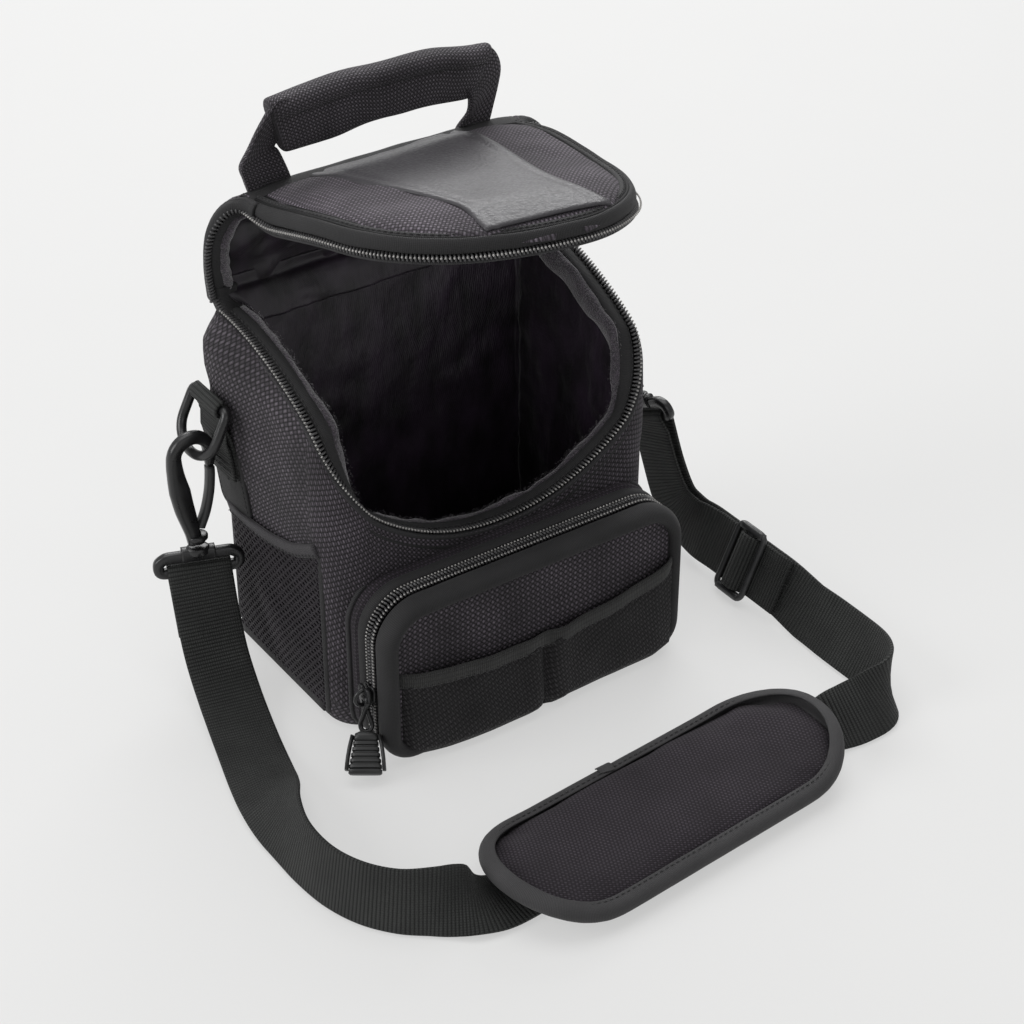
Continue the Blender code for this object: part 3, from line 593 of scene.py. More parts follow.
def ribbed(name, dark, light, pitch, across=0.0, depth=0.2, sheen=0.1):
    """Tape or webbing: ribs that cross its length, with a finer thread along it. The ribs' crowns carry a
    painted highlight and the troughs between them painted shade.
    """
    shade = Shade(name)
    u, v = shade.uv()
    rib = shade.math("POWER", shade.math("ABSOLUTE", shade.wave(v, pitch)), 0.7)
    if across:
        thread = shade.math("POWER", shade.math("ABSOLUTE", shade.wave(u, across)), 0.5)
        rib = shade.math("MULTIPLY", rib, shade.spread(thread, 0.0, 1.0, 0.45, 1.0))
    fibre = shade.noise(0.3, 2.0)
    worn = shade.noise(16.0, 3.0)
    tone = shade.math("MULTIPLY", rib, shade.spread(worn, 0.3, 0.7, 0.6, 1.1))
    tone = shade.math("MULTIPLY", tone, shade.spread(fibre, 0.3, 0.7, 0.7, 1.15))
    # Colour follows the ribs' height: a painted highlight on their crowns and painted shade between them,
    # under random wear and fibre tone.
    colour = shade.mix(tone, dark, light)
    normal = shade.bump(shade.math("MULTIPLY_ADD", fibre, 0.3, rib), depth)
    roughness = shade.spread(rib, 0.0, 1.0, 0.82, 0.7)
    soft = {"Sheen_Weight": sheen, "Sheen_Roughness": 0.45, "Specular_IOR_Level": 0.35}
    return shade.finish(colour, roughness, normal, **soft)


def moulded(name, colour, rough, grain=0.6, depth=0.03):
    """Plastic, rubber or coated sheet: fine grain, soft scuffs and uneven gloss."""
    shade = Shade(name)
    fine = shade.noise(grain, 4.0)
    broad = shade.noise(9.0, 4.0)
    light = tuple(c * 1.4 + 0.002 for c in colour)
    tint = shade.mix(shade.spread(broad, 0.35, 0.7, 0.0, 1.0), colour, light)
    roughness = shade.spread(broad, 0.3, 0.7, max(rough - 0.08, 0.05), rough + 0.08)
    normal = shade.bump(fine, depth)
    return shade.finish(tint, roughness, normal)


def satin(name, dark, light, rough):
    """Thin shiny lining: fine threads and soft creases, with a painted highlight on the creases' crests."""
    shade = Shade(name)
    u, v = shade.uv()
    thread = shade.math("MULTIPLY", shade.wave(u, 0.45), shade.wave(v, 0.45))
    crease = shade.noise(11.0, 4.0, (1, 1, 0.45))
    # The lighter, purplish colour on the crease crests is a painted highlight.
    colour = shade.mix(shade.spread(crease, 0.35, 0.7, 0.0, 1.0), dark, light)
    normal = shade.bump(crease, 2.2, None, 0.7)
    normal = shade.bump(thread, 0.05, normal, 0.6)
    roughness = shade.spread(crease, 0.3, 0.7, rough + 0.1, rough)
    return shade.finish(colour, roughness, normal, Sheen_Weight=0.2, Sheen_Roughness=0.35)


def fuzzy(name, dark, light):
    """Short pile."""
    shade = Shade(name)
    pile = shade.noise(0.55, 5.0)
    clump = shade.noise(3.2, 3.0)
    pile_tone = shade.spread(pile, 0.35, 0.68, 0.0, 1.0)
    tone = shade.math("MULTIPLY", pile_tone, shade.spread(clump, 0.3, 0.7, 0.55, 1.1))
    colour = shade.mix(tone, dark, light)
    normal = shade.bump(pile, 0.7)
    return shade.finish(colour, 0.95, normal, Sheen_Weight=0.6, Sheen_Roughness=0.5)


def leathered(name, dark, light):
    """Smooth leatherette with a pebbled grain."""
    shade = Shade(name)
    source = shade.node("TexCoord").outputs["Object"]
    inputs = [("Vector", source), ("Scale", 900.0)]
    pebble = shade.node("TexVoronoi", inputs, feature="SMOOTH_F1").outputs[0]
    broad = shade.noise(18.0, 4.0)
    colour = shade.mix(shade.spread(broad, 0.3, 0.7, 0.0, 1.0), dark, light)
    normal = shade.bump(shade.spread(pebble, 0.1, 0.7, 1.0, 0.0), 0.09)
    normal = shade.bump(broad, 0.8, normal, 0.35)
    roughness = shade.spread(pebble, 0.0, 0.7, 0.36, 0.52)
    return shade.finish(colour, roughness, normal, Specular_IOR_Level=0.5)


NYLON = woven(
    "nylon_basket", (0.0018, 0.0014, 0.0018), (0.16, 0.136, 0.164),
    (1.6, 1.6), 45.0, 0.85, 0.03,
)
LID_NYLON = woven(
    "nylon_lid", (0.01, 0.008, 0.0102), (0.19, 0.163, 0.196),
    (1.3, 1.3), 45.0, 0.45, 0.08,
)
SIDE_NYLON = woven(
    "nylon_side", (0.004, 0.0034, 0.0042), (0.15, 0.13, 0.153),
    (2.6, 1.2), 38.0, 0.7, 0.04,
)
RIBBED_NYLON = woven(
    "nylon_ribbed", (0.003, 0.0022, 0.0032), (0.06, 0.046, 0.062),
    (1.8, 0.9), 0.0, 0.3, 0.04,
)
TWILL = woven(
    "nylon_twill", (0.0016, 0.0014, 0.0016), (0.045, 0.042, 0.045),
    (2.2, 0.9), 62.0, 0.5, 0.02,
)
GRIP_CLOTH = woven(
    "grip_mesh", (0.004, 0.0034, 0.0042), (0.19, 0.17, 0.194),
    (1.1, 1.1), 45.0, 0.5, 0.08,
)
PAD_CLOTH = woven(
    "pad_cloth", (0.011, 0.0088, 0.0112), (0.058, 0.048, 0.06),
    (1.3, 0.8), 28.0, 0.25, 0.05, 0.85,
)
BASE_CLOTH = woven(
    "base_cloth", (0.003, 0.0027, 0.0033), (0.03, 0.027, 0.031),
    (0.9, 0.9), 0.0, 0.2, 0.05,
)
TAPE = ribbed("binding_tape", (0.008, 0.0078, 0.0083), (0.036, 0.035, 0.037), 0.6, 0.55, 0.12, 0.05)
TWILL_TAPE = ribbed(
    "twill_tape", (0.0055, 0.0053, 0.0056), (0.026, 0.0255, 0.0265),
    0.65, 0.6, 0.1, 0.04,
)
PAD_EDGE_TAPE = ribbed(
    "pad_edge_tape", (0.022, 0.0215, 0.0222), (0.056, 0.0545, 0.0565),
    0.55, 0.55, 0.1, 0.05,
)
WEB = ribbed("webbing", (0.0016, 0.0018, 0.0016), (0.033, 0.035, 0.033), 1.45, 0.9, 0.45, 0.03)
COIL = moulded("zip_coil", (0.045, 0.044, 0.045), 0.3, 0.5, 0.02)
PLASTIC = moulded("hard_plastic", (0.009, 0.009, 0.0095), 0.3, 0.7, 0.015)
SATIN_PLASTIC = moulded("satin_plastic", (0.02, 0.0205, 0.021), 0.42, 0.5, 0.03)
RUBBER = moulded("pull_rubber", (0.013, 0.0133, 0.0133), 0.45, 0.4, 0.05)
THREAD = ribbed("thread", (0.008, 0.008, 0.008), (0.05, 0.049, 0.051), 0.4, 0.0, 0.1)
# Bright beads: white thread beside the pocket zips, and a painted glint on the tips of the coil teeth at the
# rim and the lid.
BRIGHT_THREAD_AND_GLINT = ribbed("bright_thread_and_glint", (0.16, 0.155, 0.15), (0.75, 0.73, 0.7), 0.5, 0.0, 0.1)
# Near-black cord laid in grooves and seams: painted shade, and a painted shadow beside the leatherette patch.
GROOVE_SHADE = ribbed(
    "painted_groove_shade", (0.0008, 0.0008, 0.0009), (0.004, 0.0038, 0.0042),
    0.8, 0.5, 0.1, 0.0,
)
LINING = satin("satin_lining", (0.003, 0.002, 0.0034), (0.026, 0.017, 0.029), 0.38)
PLUSH = fuzzy("plush_trim", (0.003, 0.0022, 0.0033), (0.085, 0.067, 0.089))
NET = ribbed("net_strand", (0.0022, 0.0018, 0.0024), (0.026, 0.02, 0.027), 0.6, 0.3, 0.15, 0.03)
SIDE_ELASTIC = ribbed("side_elastic", (0.012, 0.011, 0.0125), (0.05, 0.046, 0.051), 1.1, 0.9, 0.18)
FRONT_ELASTIC = ribbed("elastic_ribs", (0.008, 0.008, 0.0078), (0.04, 0.04, 0.0385), 0.85, 2.2, 0.2)
LEATHER = leathered("leatherette", (0.03, 0.028, 0.0315), (0.044, 0.0415, 0.046))


# Camera, light and floor

EYE = Vector((-412, -634, 568))
LOOK = Vector((0.473, 0.681, -0.559))
ASIDE = Vector((0.821, -0.571, 0))
LENS = 80.9
FLOOR_REACH = 4000


def add_camera():
    """The camera of the photo: a long lens, from the front left and above."""
    camera = bpy.data.objects.new("camera", bpy.data.cameras.new("camera"))
    bpy.context.scene.collection.objects.link(camera)
    ahead = LOOK.normalized()
    right = square_to(ASIDE, ahead)
    turn = Matrix((right, right.cross(ahead), -ahead)).transposed().to_4x4()
    camera.matrix_world = Matrix.Translation(EYE * MM) @ turn
    camera.data.lens = LENS
    camera.data.sensor_width = 36.0
    bpy.context.scene.camera = camera


def add_light(name, place, aim, size, power):
    """A soft box, placed and aimed in metres."""
    data = bpy.data.lights.new(name, "AREA")
    data.shape = "RECTANGLE"
    data.size, data.size_y = size
    data.energy = power
    light = bpy.data.objects.new(name, data)
    bpy.context.scene.collection.objects.link(light)
    light.location = Vector(place)
    light.rotation_euler = (Vector(aim) - Vector(place)).to_track_quat("-Z", "Y").to_euler()


def studio():
    """White world, four soft boxes and a pale floor."""
    world = bpy.data.worlds.new("studio")
    world.use_nodes = True
    backdrop = world.node_tree.nodes["Background"]
    backdrop.inputs[0].default_value = (0.93, 0.93, 0.94, 1)
    backdrop.inputs[1].default_value = 0.5
    bpy.context.scene.world = world
    bpy.context.scene.view_settings.view_transform = "Standard"
    add_light("top", (0.1, 0.3, 1.7), (0, -0.03, 0.1), (1.8, 1.4), 15)
    add_light("left", (-1.5, 0.35, 0.9), (0, 0, 0.1), (0.9, 1.0), 13)
    add_light("front", (-0.3, -1.7, 0.9), (0, 0, 0.1), (1.4, 0.8), 2.5)
    add_light("back", (0.85, 1.3, 1.05), (0, 0, 0.15), (1.5, 0.7), 17)
    shade = Shade("pale_floor")
    tint = shade.mix(shade.noise(60.0, 2.0), (0.25, 0.25, 0.248), (0.256, 0.256, 0.254))
    glow = {"Emission_Color": (1.0, 1.0, 0.993, 1), "Emission_Strength": 0.5}
    pale = shade.finish(tint, 0.7, shade.bump(shade.noise(2.0), 0.02), Specular_IOR_Level=0.1, **glow)
    ways = ((-1, -1), (1, -1), (1, 1), (-1, 1))
    corners = [Vector((x * FLOOR_REACH, y * FLOOR_REACH, -0.05)) for x, y in ways]
    floor = add_mesh("floor", corners, [[0, 1, 2, 3]], pale)


add_camera()
studio()


# Rings, hooks and frames

TAB_Y = 40.0
TAB_PATCH = (23.8, 34.0)
TAB_PATCH_Z = 82.0
RING_BAR = Vector((82.0, TAB_Y, 119.0))
RING_WIRE = 2.0
RING_HALF = 15.0
RING_DEPTH = 22.0
HOOK_ARC = 7.5
HOOK_LENGTH = 43.0
FRAME_HALF = 17.8
FRAME_WIRE = 1.9
FRAME_DROP = 54.0
LEFT_DOWN = Vector((-0.02, 0, -1)).normalized()
RIGHT_DOWN = Vector((0.25, -0.45, -0.857)).normalized()
LEFT_BAR = Vector((0.94, -0.34, 0)).normalized()
RIGHT_BAR = square_to(Vector((0, -0.885, 0.465)), RIGHT_DOWN)
TILT = {-1: math.radians(27), 1: math.radians(42)}
SUFFIX = {-1: "left", 1: "right"}


def ring_hang(side):
    """The way that a ring hangs from its bar."""
    return Vector((side * math.sin(TILT[side]), 0, -math.cos(TILT[side])))


def ring_bar(side):
    """The middle of a ring's bar."""
    return Vector((side * RING_BAR.x, RING_BAR.y, RING_BAR.z))


def ring_bottom(side):
    """The middle of a ring's wire, where the hook holds it."""
    return ring_bar(side) + ring_hang(side) * RING_DEPTH


def d_ring(side):
    """A ring with one straight side, held by the webbing tab."""
    bar, hang = ring_bar(side), ring_hang(side)
    half = RING_HALF - RING_WIRE
    low = RING_DEPTH - half + 3
    squash = (half - 3) / half
    outline = [(-half + 1.5, 0), (half - 1.5, 0), (half - 0.4, 0.4), (half, 1.5), (half, low)]
    outline += [(u, low + v * squash) for u, v in arc((0, 0), half, 0, 180, 16)[1:-1]]
    outline += [(-half, low), (-half, 1.5), (-half + 0.4, 0.4)]
    points = [bar + Vector((0, u, 0)) + hang * v for u, v in outline]
    line = softened(resampled(points, 1.0, True), 2, True)
    name = "d_ring_" + SUFFIX[side]
    ring = pipe("ring_" + SUFFIX[side], line, RING_WIRE, PLASTIC, True, 14)
    wear(ring, name.replace("d_", ""), "black_plastic", name)


def snap_hook(side, down, out):
    """Hook with a tapered body that curls over the ring, a bent gate, and its collar."""
    suffix = SUFFIX[side]
    wire = ring_bottom(side)
    across = square_to(out, down)
    normal = down.cross(across)

    def place(u, v):
        return wire + across * u + down * v

    spine = [(1.0, HOOK_LENGTH - 2), (1.6, HOOK_LENGTH - 6), (3.0, HOOK_LENGTH - 12), (4.6, 24), (5.8, 17)]
    spine += [(6.8, 11), (HOOK_ARC - 0.1, 5.5)]
    spine += [(u, 1.5 - v) for u, v in arc((0, 0), HOOK_ARC, 0, 180, 10)]
    spine += [(-HOOK_ARC, 5.0), (-HOOK_ARC + 0.2, 8.2)]
    line = resampled(curved([place(u, v) for u, v in spine], 3), 1.0)
    widths = [(0.0, 1.1), (0.08, 1.2), (0.22, 1.5), (0.36, 1.62), (0.47, 1.3), (0.6, 1.05)]
    widths += [(0.94, 0.95), (1.0, 0.6)]

    def scale(share):
        for (a, low), (b, high) in zip(widths, widths[1:]):
            if share <= b:
                wide = blended(low, high, (share - a) / (b - a))
                return min(wide, 1.0), wide
        return 0.6, 0.6

    profile = round_profile(4.6, 5.2, 16, 0.66)
    body = sweep("hook_body_" + suffix, line, profile, PLASTIC, normal, scale=scale)
    wear(body, "hook_" + suffix, "black_plastic", "hook_" + suffix)
    collar = [place(0, HOOK_LENGTH - 5.5 + v) for v in (0, 0.4, 1.6, 2.0, 2.2, 3.4, 3.8, 4.0)]
    sizes = [3.6, 4.3, 4.3, 3.7, 3.1, 3.1, 2.6, 0.4]
    rings = []
    for point, size in zip(collar, sizes):
        rings.append(oval(point, across * size, normal * size))
    cup = skin("hook_collar_" + suffix, rings, PLASTIC, wrap=True, caps=True)
    wear(cup, "hook_" + suffix, "black_plastic")
    gate = [(-HOOK_ARC + 0.2, 8.9), (-7.2, 13), (-6.4, 20), (-4.4, 28), (-1.6, 34.5)]
    gate = curved([place(u, v) for u, v in gate], 8)
    arm = sweep("gate_arm_" + suffix, gate, round_profile(4.4, 3.3, 14, 0.6), SATIN_PLASTIC, normal)
    wear(arm, "gate_" + suffix, "black_plastic", "hook_gate_" + suffix)


def strap_frame(side, down, bar):
    """Rectangular frame under the hook's swivel, with its post and cup."""
    suffix = SUFFIX[side]
    wire = ring_bottom(side)
    top = wire + down * (HOOK_LENGTH + 4)
    low = wire + down * FRAME_DROP
    half = bar * (FRAME_HALF - FRAME_WIRE)
    soft = bar * 3
    tight = bar * 1.4
    points = [top - half + soft, top + half - soft, top + half + down * 2, low + half - down * 1.4]
    points += [low + half - tight, low - half + tight, low - half - down * 1.4, top - half + down * 2]
    line = softened(resampled(points, 0.8, True), 2, True)
    normal = bar.cross(down)
    rim = sweep("frame_" + suffix, line, round_profile(3.9, 4.3, 16, 0.6), PLASTIC, normal, True)
    wear(rim, "root", "black_plastic", "strap_frame_" + suffix)
    housing = [top + bar * x - down * 0.6 for x in (-6.6, -6.0, -3, 0, 3, 6.0, 6.6)]
    block = sweep("frame_housing_" + suffix, housing, round_profile(5.0, 5.6, 16, 0.5), PLASTIC, normal)
    wear(block, "root", "black_plastic")
    rings = []
    for drop, size in ((-3.9, 2.6), (-3.8, 4.2), (-3.3, 4.7), (-1.2, 4.7), (-0.4, 4.2), (1.3, 1.0)):
        centre = top + down * drop
        rings.append(oval(centre, bar * size, normal * size * 0.8))
    cup = skin("frame_cup_" + suffix, rings, PLASTIC, wrap=True, caps=True)
    wear(cup, "root", "black_plastic")


# Strap: stations give the centre of the webbing, then the direction across it

STRAP_ROUTE = [
    (-94, 37.5, 46.8, 0.94, -0.34, 0),
    (-95.6, 31, 31, 0.95, -0.31, 0),
    (-98, 21, 17, 0.97, -0.25, 0),
    (-101, 7, 8, 0.97, -0.22, 0),
    (-104.5, -8, 3.6, 0.97, -0.22, 0),
    (-109, -25, 2.6, 0.96, -0.25, 0.05),
    (-114, -42, 4.6, 0.93, -0.25, 0.25),
    (-119, -59, 8.6, 0.80, -0.20, 0.58),
    (-123.5, -76, 11.8, 0.48, -0.10, 0.87),
    (-126, -92, 12.9, 0.28, 0.05, 0.96),
    (-125, -108, 13.1, 0.18, 0.10, 0.97),
    (-120, -122, 13.1, 0.14, 0.16, 0.97),
    (-111.5, -133, 13.0, 0.12, 0.22, 0.96),
    (-101, -139.5, 12.4, 0.10, 0.38, 0.92),
    (-91, -142.5, 10.0, 0.05, 0.68, 0.72),
    (-81, -143.8, 4.6, 0.0, 0.96, 0.26),
    (-71, -143.7, 2.4, 0.0, 1.0, 0.05),
    (-58, -142.7, 2.0, 0.0, 1.0, 0.0),
    (0, -138.2, 2.0, 0.0, 1.0, 0.0),
    (58, -133.6, 2.0, 0.0, 1.0, 0.0),
    (70, -134.4, 2.0, 0.0, 1.0, 0.03),
    (80, -137.0, 3.0, -0.03, 0.985, 0.16),
    (90, -140.5, 6.8, -0.08, 0.86, 0.50),
    (101, -142.0, 10.4, -0.10, 0.62, 0.78),
    (110, -139.0, 12.6, 0.0, 0.25, 0.97),
    (114.5, -130.5, 12.6, 0.25, 0.0, 0.96),
    (116.5, -118, 11.4, 0.50, 0.0, 0.86),
    (117, -100, 10.7, 0.56, 0.0, 0.83),
    (116.5, -87, 11.4, 0.47, 0.0, 0.88),
    (116, -70, 14.4, 0.42, 0.0, 0.907),
    (116, -58, 14.6, 0.42, 0.0, 0.907),
    (116, -46, 14.6, 0.42, 0.0, 0.907),
    (116, -34, 14.6, 0.42, 0.0, 0.907),
    (116, -22, 14.6, 0.42, 0.0, 0.907),
    (115.8, -11, 16.0, 0.20, -0.12, 0.97),
    (115.2, 0, 22.0, 0.10, -0.50, 0.85),
    (114.4, 8.5, 37.0, 0.02, -0.80, 0.58),
    (113.1, 15.6, 56.2, 0.0, -0.88, 0.47),
]
STRAP_CLEAR = 0.4
LAYER = 1.9
TWISTED_LAYER = 3.4
GLIDE_X = 116.0
GLIDE_Y = -46.0
GLIDE_SIZE = (32.0, 18.0, 2.6)
GLIDE_LIFT = 4.4
TAIL = 24.0


def strap_path():
    """Centres and across directions along the whole strap, nowhere lower than the floor."""
    centres = curved([Vector(station[:3]) for station in STRAP_ROUTE], 6)
    hints = curved([Vector(station[3:]) for station in STRAP_ROUTE], 6)
    across = []
    for centre, ahead, hint in zip(centres, travel(centres), hints):
        side = square_to(hint, ahead)
        normal = ahead.cross(side)
        lowest = abs(side.z) * WEBBING / 2 + abs(normal.z) * WEBBING_THICK / 2 + STRAP_CLEAR
        centre.z = max(centre.z, lowest)
        across.append(side)
    return centres, across


def over_bar(bar, direction, side_point):
    """Points of the webbing going over a frame's bar from `side_point`'s side to the other side."""
    radius = FRAME_WIRE + 0.3 + WEBBING_THICK / 2
    away = square_to(side_point - bar, direction)
    up = away.cross(direction)
    up = up if up.z > 0 else -up
    return [bar + away * radius * u + up * radius * v for u, v in arc((0, 0), 1, 0, 180, 10)]


def frayed(name, end, across, out, up, width):
    """Loose threads at a cut end of webbing."""
    draw = random.Random(11)
    pieces = []
    for i in range(16):
        root = end + across * width * (i / 15 - 0.5) * 0.96 + up * draw.uniform(-0.4, 0.4)
        length = draw.uniform(0.8, 2.6)
        tip = root + out * length + across * draw.uniform(-0.7, 0.7) + up * draw.uniform(-0.5, 0.6)
        first = (tip - root).normalized()
        pieces.append(((root + tip) / 2, first, first.orthogonal().normalized()))
    return repeated(name, bead(2.4, 0.35, 0.35), pieces, WEB)


def strap():
    """The webbing: one belt, sewn at the left frame, doubled back from the right one to its slider."""
    left_bar = ring_bottom(-1) + LEFT_DOWN * FRAME_DROP
    right_bar = ring_bottom(1) + RIGHT_DOWN * FRAME_DROP
    centres, across = strap_path()
    fold = over_bar(left_bar, LEFT_BAR, centres[0])[:0:-1]
    sewn_end = fold[0] + (centres[9] - centres[0])
    route = [sewn_end] + fold + centres
    sides = [LEFT_BAR] * (len(fold) + 1) + across
    belt = band("strap_belt", route, WEBBING, WEBBING_THICK, WEB, sides, steps=8)
    glide = min(range(len(centres)), key=lambda i: abs(centres[i].y - GLIDE_Y) + abs(centres[i].x - GLIDE_X))
    side = across[glide]
    inward = Vector((-side.z, 0, side.x))
    middle = centres[glide]
    over = GLIDE_LIFT + GLIDE_SIZE[2] / 2 + 0.3 + WEBBING_THICK / 2
    edge = GLIDE_SIZE[1] / 2 + 3
    rise = [(9.5, LAYER), (6.3, LAYER + 0.3), (4.2, LAYER + 3), (2.4, over)]
    runs = [(-TAIL, LAYER), (-15, LAYER)] + [(-y, lift) for y, lift in rise]
    runs += [(0, over + 0.2)] + rise[::-1] + [(edge, LAYER)]
    path = [middle + Vector((0, y, 0)) + inward * lift for y, lift in runs]
    hints = [side] * len(path)
    ways = travel(centres)
    for i in range(glide, len(centres)):
        if centres[i].y > GLIDE_Y + edge + 4:
            share = eased(centres[i].y, GLIDE_Y + edge + 4, GLIDE_Y + edge + 16)
            lift = blended(LAYER, TWISTED_LAYER, share)
            path.append(centres[i] - ways[i].cross(across[i]) * lift)
            hints.append(across[i])
    fold = over_bar(right_bar, RIGHT_BAR, centres[-1])[:1:-1]
    path = path[:-2] + fold
    hints = hints[:-2] + [RIGHT_BAR] * len(fold)
    second = band("strap_second_layer", path, WEBBING - 1.0, WEBBING_THICK, WEB, hints, steps=8)
    wear(second, "root", "webbing", "strap_return")
    tail = middle + Vector((0, -TAIL, 0)) + inward * LAYER
    wear(frayed("strap_frayed_end", tail, side, Vector((0, -1, 0)), inward, 23), "root", "webbing")
    tri_glide(middle, side, inward)
    wear(belt, "root", "webbing", "strap_webbing")
    return belt, [point * MM for point in route]


def tri_glide(middle, side, inward):
    """Three-bar slider with rounded bars and raised, ribbed ends."""
    length, width = GLIDE_SIZE[:2]
    centre = middle + inward * GLIDE_LIFT
    ahead = REARWARD
    outline = box_outline(length / 2 - 1.3, width / 2 - 1.2, 3.0)
    ring = [centre + side * u + ahead * v for u, v in outline]
    rim = pipe("slider_rim", ring, 1.35, SATIN_PLASTIC, True, 12)
    wear(rim, "strap_slider", "black_plastic", "tri_glide")
    path = [centre + side * u for u in spaced(-length / 2 + 1.2, length / 2 - 1.2, 14)]
    bar = sweep("slider_bar", path, round_profile(3.2, 2.6, 12, 0.6), SATIN_PLASTIC, ahead)
    wear(bar, "strap_slider", "black_plastic")
    for end in (-1, 1):
        at = centre + side * end * (length / 2 - 1.9)
        path = [at + ahead * v for v in spaced(-width / 2 + 2.4, width / 2 - 2.4, 10)]
        profile = round_profile(3.0, 3.1, 12, 0.55)
        rib = sweep("slider_end_" + SUFFIX[end], path, profile, SATIN_PLASTIC, side)
        wear(rib, "strap_slider", "black_plastic")


for lean, way in ((-1, LEFT_DOWN), (1, RIGHT_DOWN)):
    d_ring(lean)
    snap_hook(lean, way, ACROSS * lean)
strap_frame(-1, LEFT_DOWN, LEFT_BAR)
strap_frame(1, RIGHT_DOWN, RIGHT_BAR)
BELT, BELT_PATH = strap()


# Shoulder pad

PAD_LENGTH = 161.0
PAD_WIDTH = 64.0
PAD_THICK = 6.0
PAD_CENTRE = Vector((-1.5, -142.0, 4.1))
UNDER_PAD = Vector((2.0, -138.0, 3.5))
PAD_REACH = (PAD_LENGTH - PAD_WIDTH) / 2
PAD_EDGE = 2.4
PAD_ARCH = 9.5
PAD_FLAT = 42.0
LOOP_AT = 36
PAD_TURN = Matrix.Rotation(math.radians(4.5), 3, "Z")


def on_pad(x, y, height):
    """A point of the pad, whose ends curve up off the strap."""
    rise = PAD_ARCH * (max(abs(x) - PAD_FLAT, 0) / (PAD_LENGTH / 2 - PAD_FLAT)) ** 2
    return PAD_CENTRE + PAD_TURN @ Vector((x, y, height + rise))


def pad_outline(inset):
    """Points (x, y) round the pad, which has half-round ends."""
    radius = PAD_WIDTH / 2 - inset
    half = arc((PAD_REACH, 0), radius, -90, 90, 18)
    half += [(x, radius) for x in spaced(PAD_REACH, -PAD_REACH, 16)[1:-1]]
    return half + [(-x, -y) for x, y in half]


def pad_cushion():
    """Foam pad in its cover: the top swells a little between its bound edges."""
    shares = (0.985, 0.95, 0.88, 0.78, 0.64, 0.48, 0.32, 0.16)
    rings = [[(x * share, y * share) for x, y in pad_outline(PAD_EDGE)] for share in shares]

    def top(x, y):
        away = math.hypot(max(abs(x) - PAD_REACH, 0), y) / (PAD_WIDTH / 2 - PAD_EDGE)
        return PAD_THICK - 1.3 + 2.2 * (1 - away**3)

    rows = [[on_pad(x, y, 0.4) for x, y in ring] for ring in rings[::-1]]
    rows += [[on_pad(x, y, top(x, y)) for x, y in ring] for ring in rings]
    pad = skin("pad_cushion_cloth", rows, PAD_CLOTH, wrap=True, caps=True)
    fix = bmesh.new()
    fix.from_mesh(pad.data)
    bmesh.ops.triangulate(fix, faces=[f for f in fix.faces if len(f.verts) > 4])
    bmesh.ops.recalc_face_normals(fix, faces=fix.faces)
    fix.to_mesh(pad.data)
    fix.free()

    def hold(point):
        local = PAD_TURN.inverted() @ (point - PAD_CENTRE)
        return eased(local.z, 0.5, 3.0)

    inflated(pad, 3.6, 1.6, hold=hold)
    for vertex in pad.data.vertices:
        point = vertex.co / MM
        vertex.co.z += ruffle(point, 17.0, 0.35, 3.0) * MM
    rounded(pad)
    back = PAD_TURN.inverted()
    map_cloth(pad, lambda point, normal: tuple((back @ (point - PAD_CENTRE)).xy))
    wear(pad, "shoulder_pad", "pad_cloth", "pad_cushion")


def pad_trim():
    """The pad's bound edge, its stitches, and the loops under it that the strap runs through."""
    line = [on_pad(x, y, PAD_THICK / 2) for x, y in pad_outline(1.5)]
    line = resampled(line, 2.0, True)
    rows = []
    # The tape's section: (out from the pad's edge, up from its middle)
    shape = [(-5.6, 3.2), (-3.6, 3.35), (-1.6, 2.9), (-0.2, 1.9), (0.5, 0.4), (0.5, -1.2), (-0.2, -2.5)]
    shape += [(-1.8, -3.1), (-5.6, -3.0), (-5.6, -2.2), (-1.6, -2.2), (-0.8, 0.4), (-1.4, 1.9), (-5.6, 2.4)]
    for point, ahead in zip(line, travel(line, True)):
        out = ahead.cross(UP).normalized()
        if out.dot(point - PAD_CENTRE) < 0:
            out = -out
        wave = 1 + ruffle(point, 9.0, 0.05, 1.0)
        rows.append([point + out * a + Vector((0, 0, b * wave)) for a, b in shape])
    edge = skin("pad_edge_binding", rows, PAD_EDGE_TAPE, wrap=True, loop=True)
    rounded(edge)
    wear(edge, "shoulder_pad", "binding_tape", "pad_binding")
    seam = [on_pad(x, y, PAD_THICK + 0.55) for x, y in pad_outline(5.4)]
    sewn = stitches("pad_stitches", seam, UP, 2.6, 1.8, 0.4, True)
    wear(sewn, "shoulder_pad", "binding_tape")
    along = PAD_TURN @ ACROSS
    join = []
    for t in (0, 0.35, 0.7, 1.0):
        join.append(on_pad(-6 + 1.6 * t, PAD_WIDTH / 2 - 6.4 + 5.4 * t, PAD_THICK + 0.55 - 1.7 * t**3))
    fold = band("pad_binding_join", curved(join, 4), 6.0, 0.5, PAD_EDGE_TAPE, along)
    wear(fold, "shoulder_pad", "binding_tape")
    half = WEBBING / 2 + 0.8
    low = 0.45 - UNDER_PAD.z
    corners = ((half + 0.3, -0.3), (half, low + 0.5), (half - 0.8, low), (0, low), (-half + 0.8, low))
    corners += ((-half, low + 0.5), (-half - 0.3, -0.3))
    for side in (-1, 1):
        path = [UNDER_PAD + PAD_TURN @ Vector((side * LOOP_AT, y, z)) for y, z in corners]
        keeper = band("pad_loop_" + SUFFIX[side], path, 12.0, 0.6, WEB, along)
        wear(keeper, "shoulder_pad", "webbing", "pad_keeper_" + SUFFIX[side])


pad_cushion()
pad_trim()


# Main compartment


def side_rim(y):
    """Height of the opening's edge along the bag's sides."""
    return RIM_BACK - (RIM_BACK - RIM_SIDE_FRONT) * (max(BACK - 10 - y, 0) / 65) ** 1.9


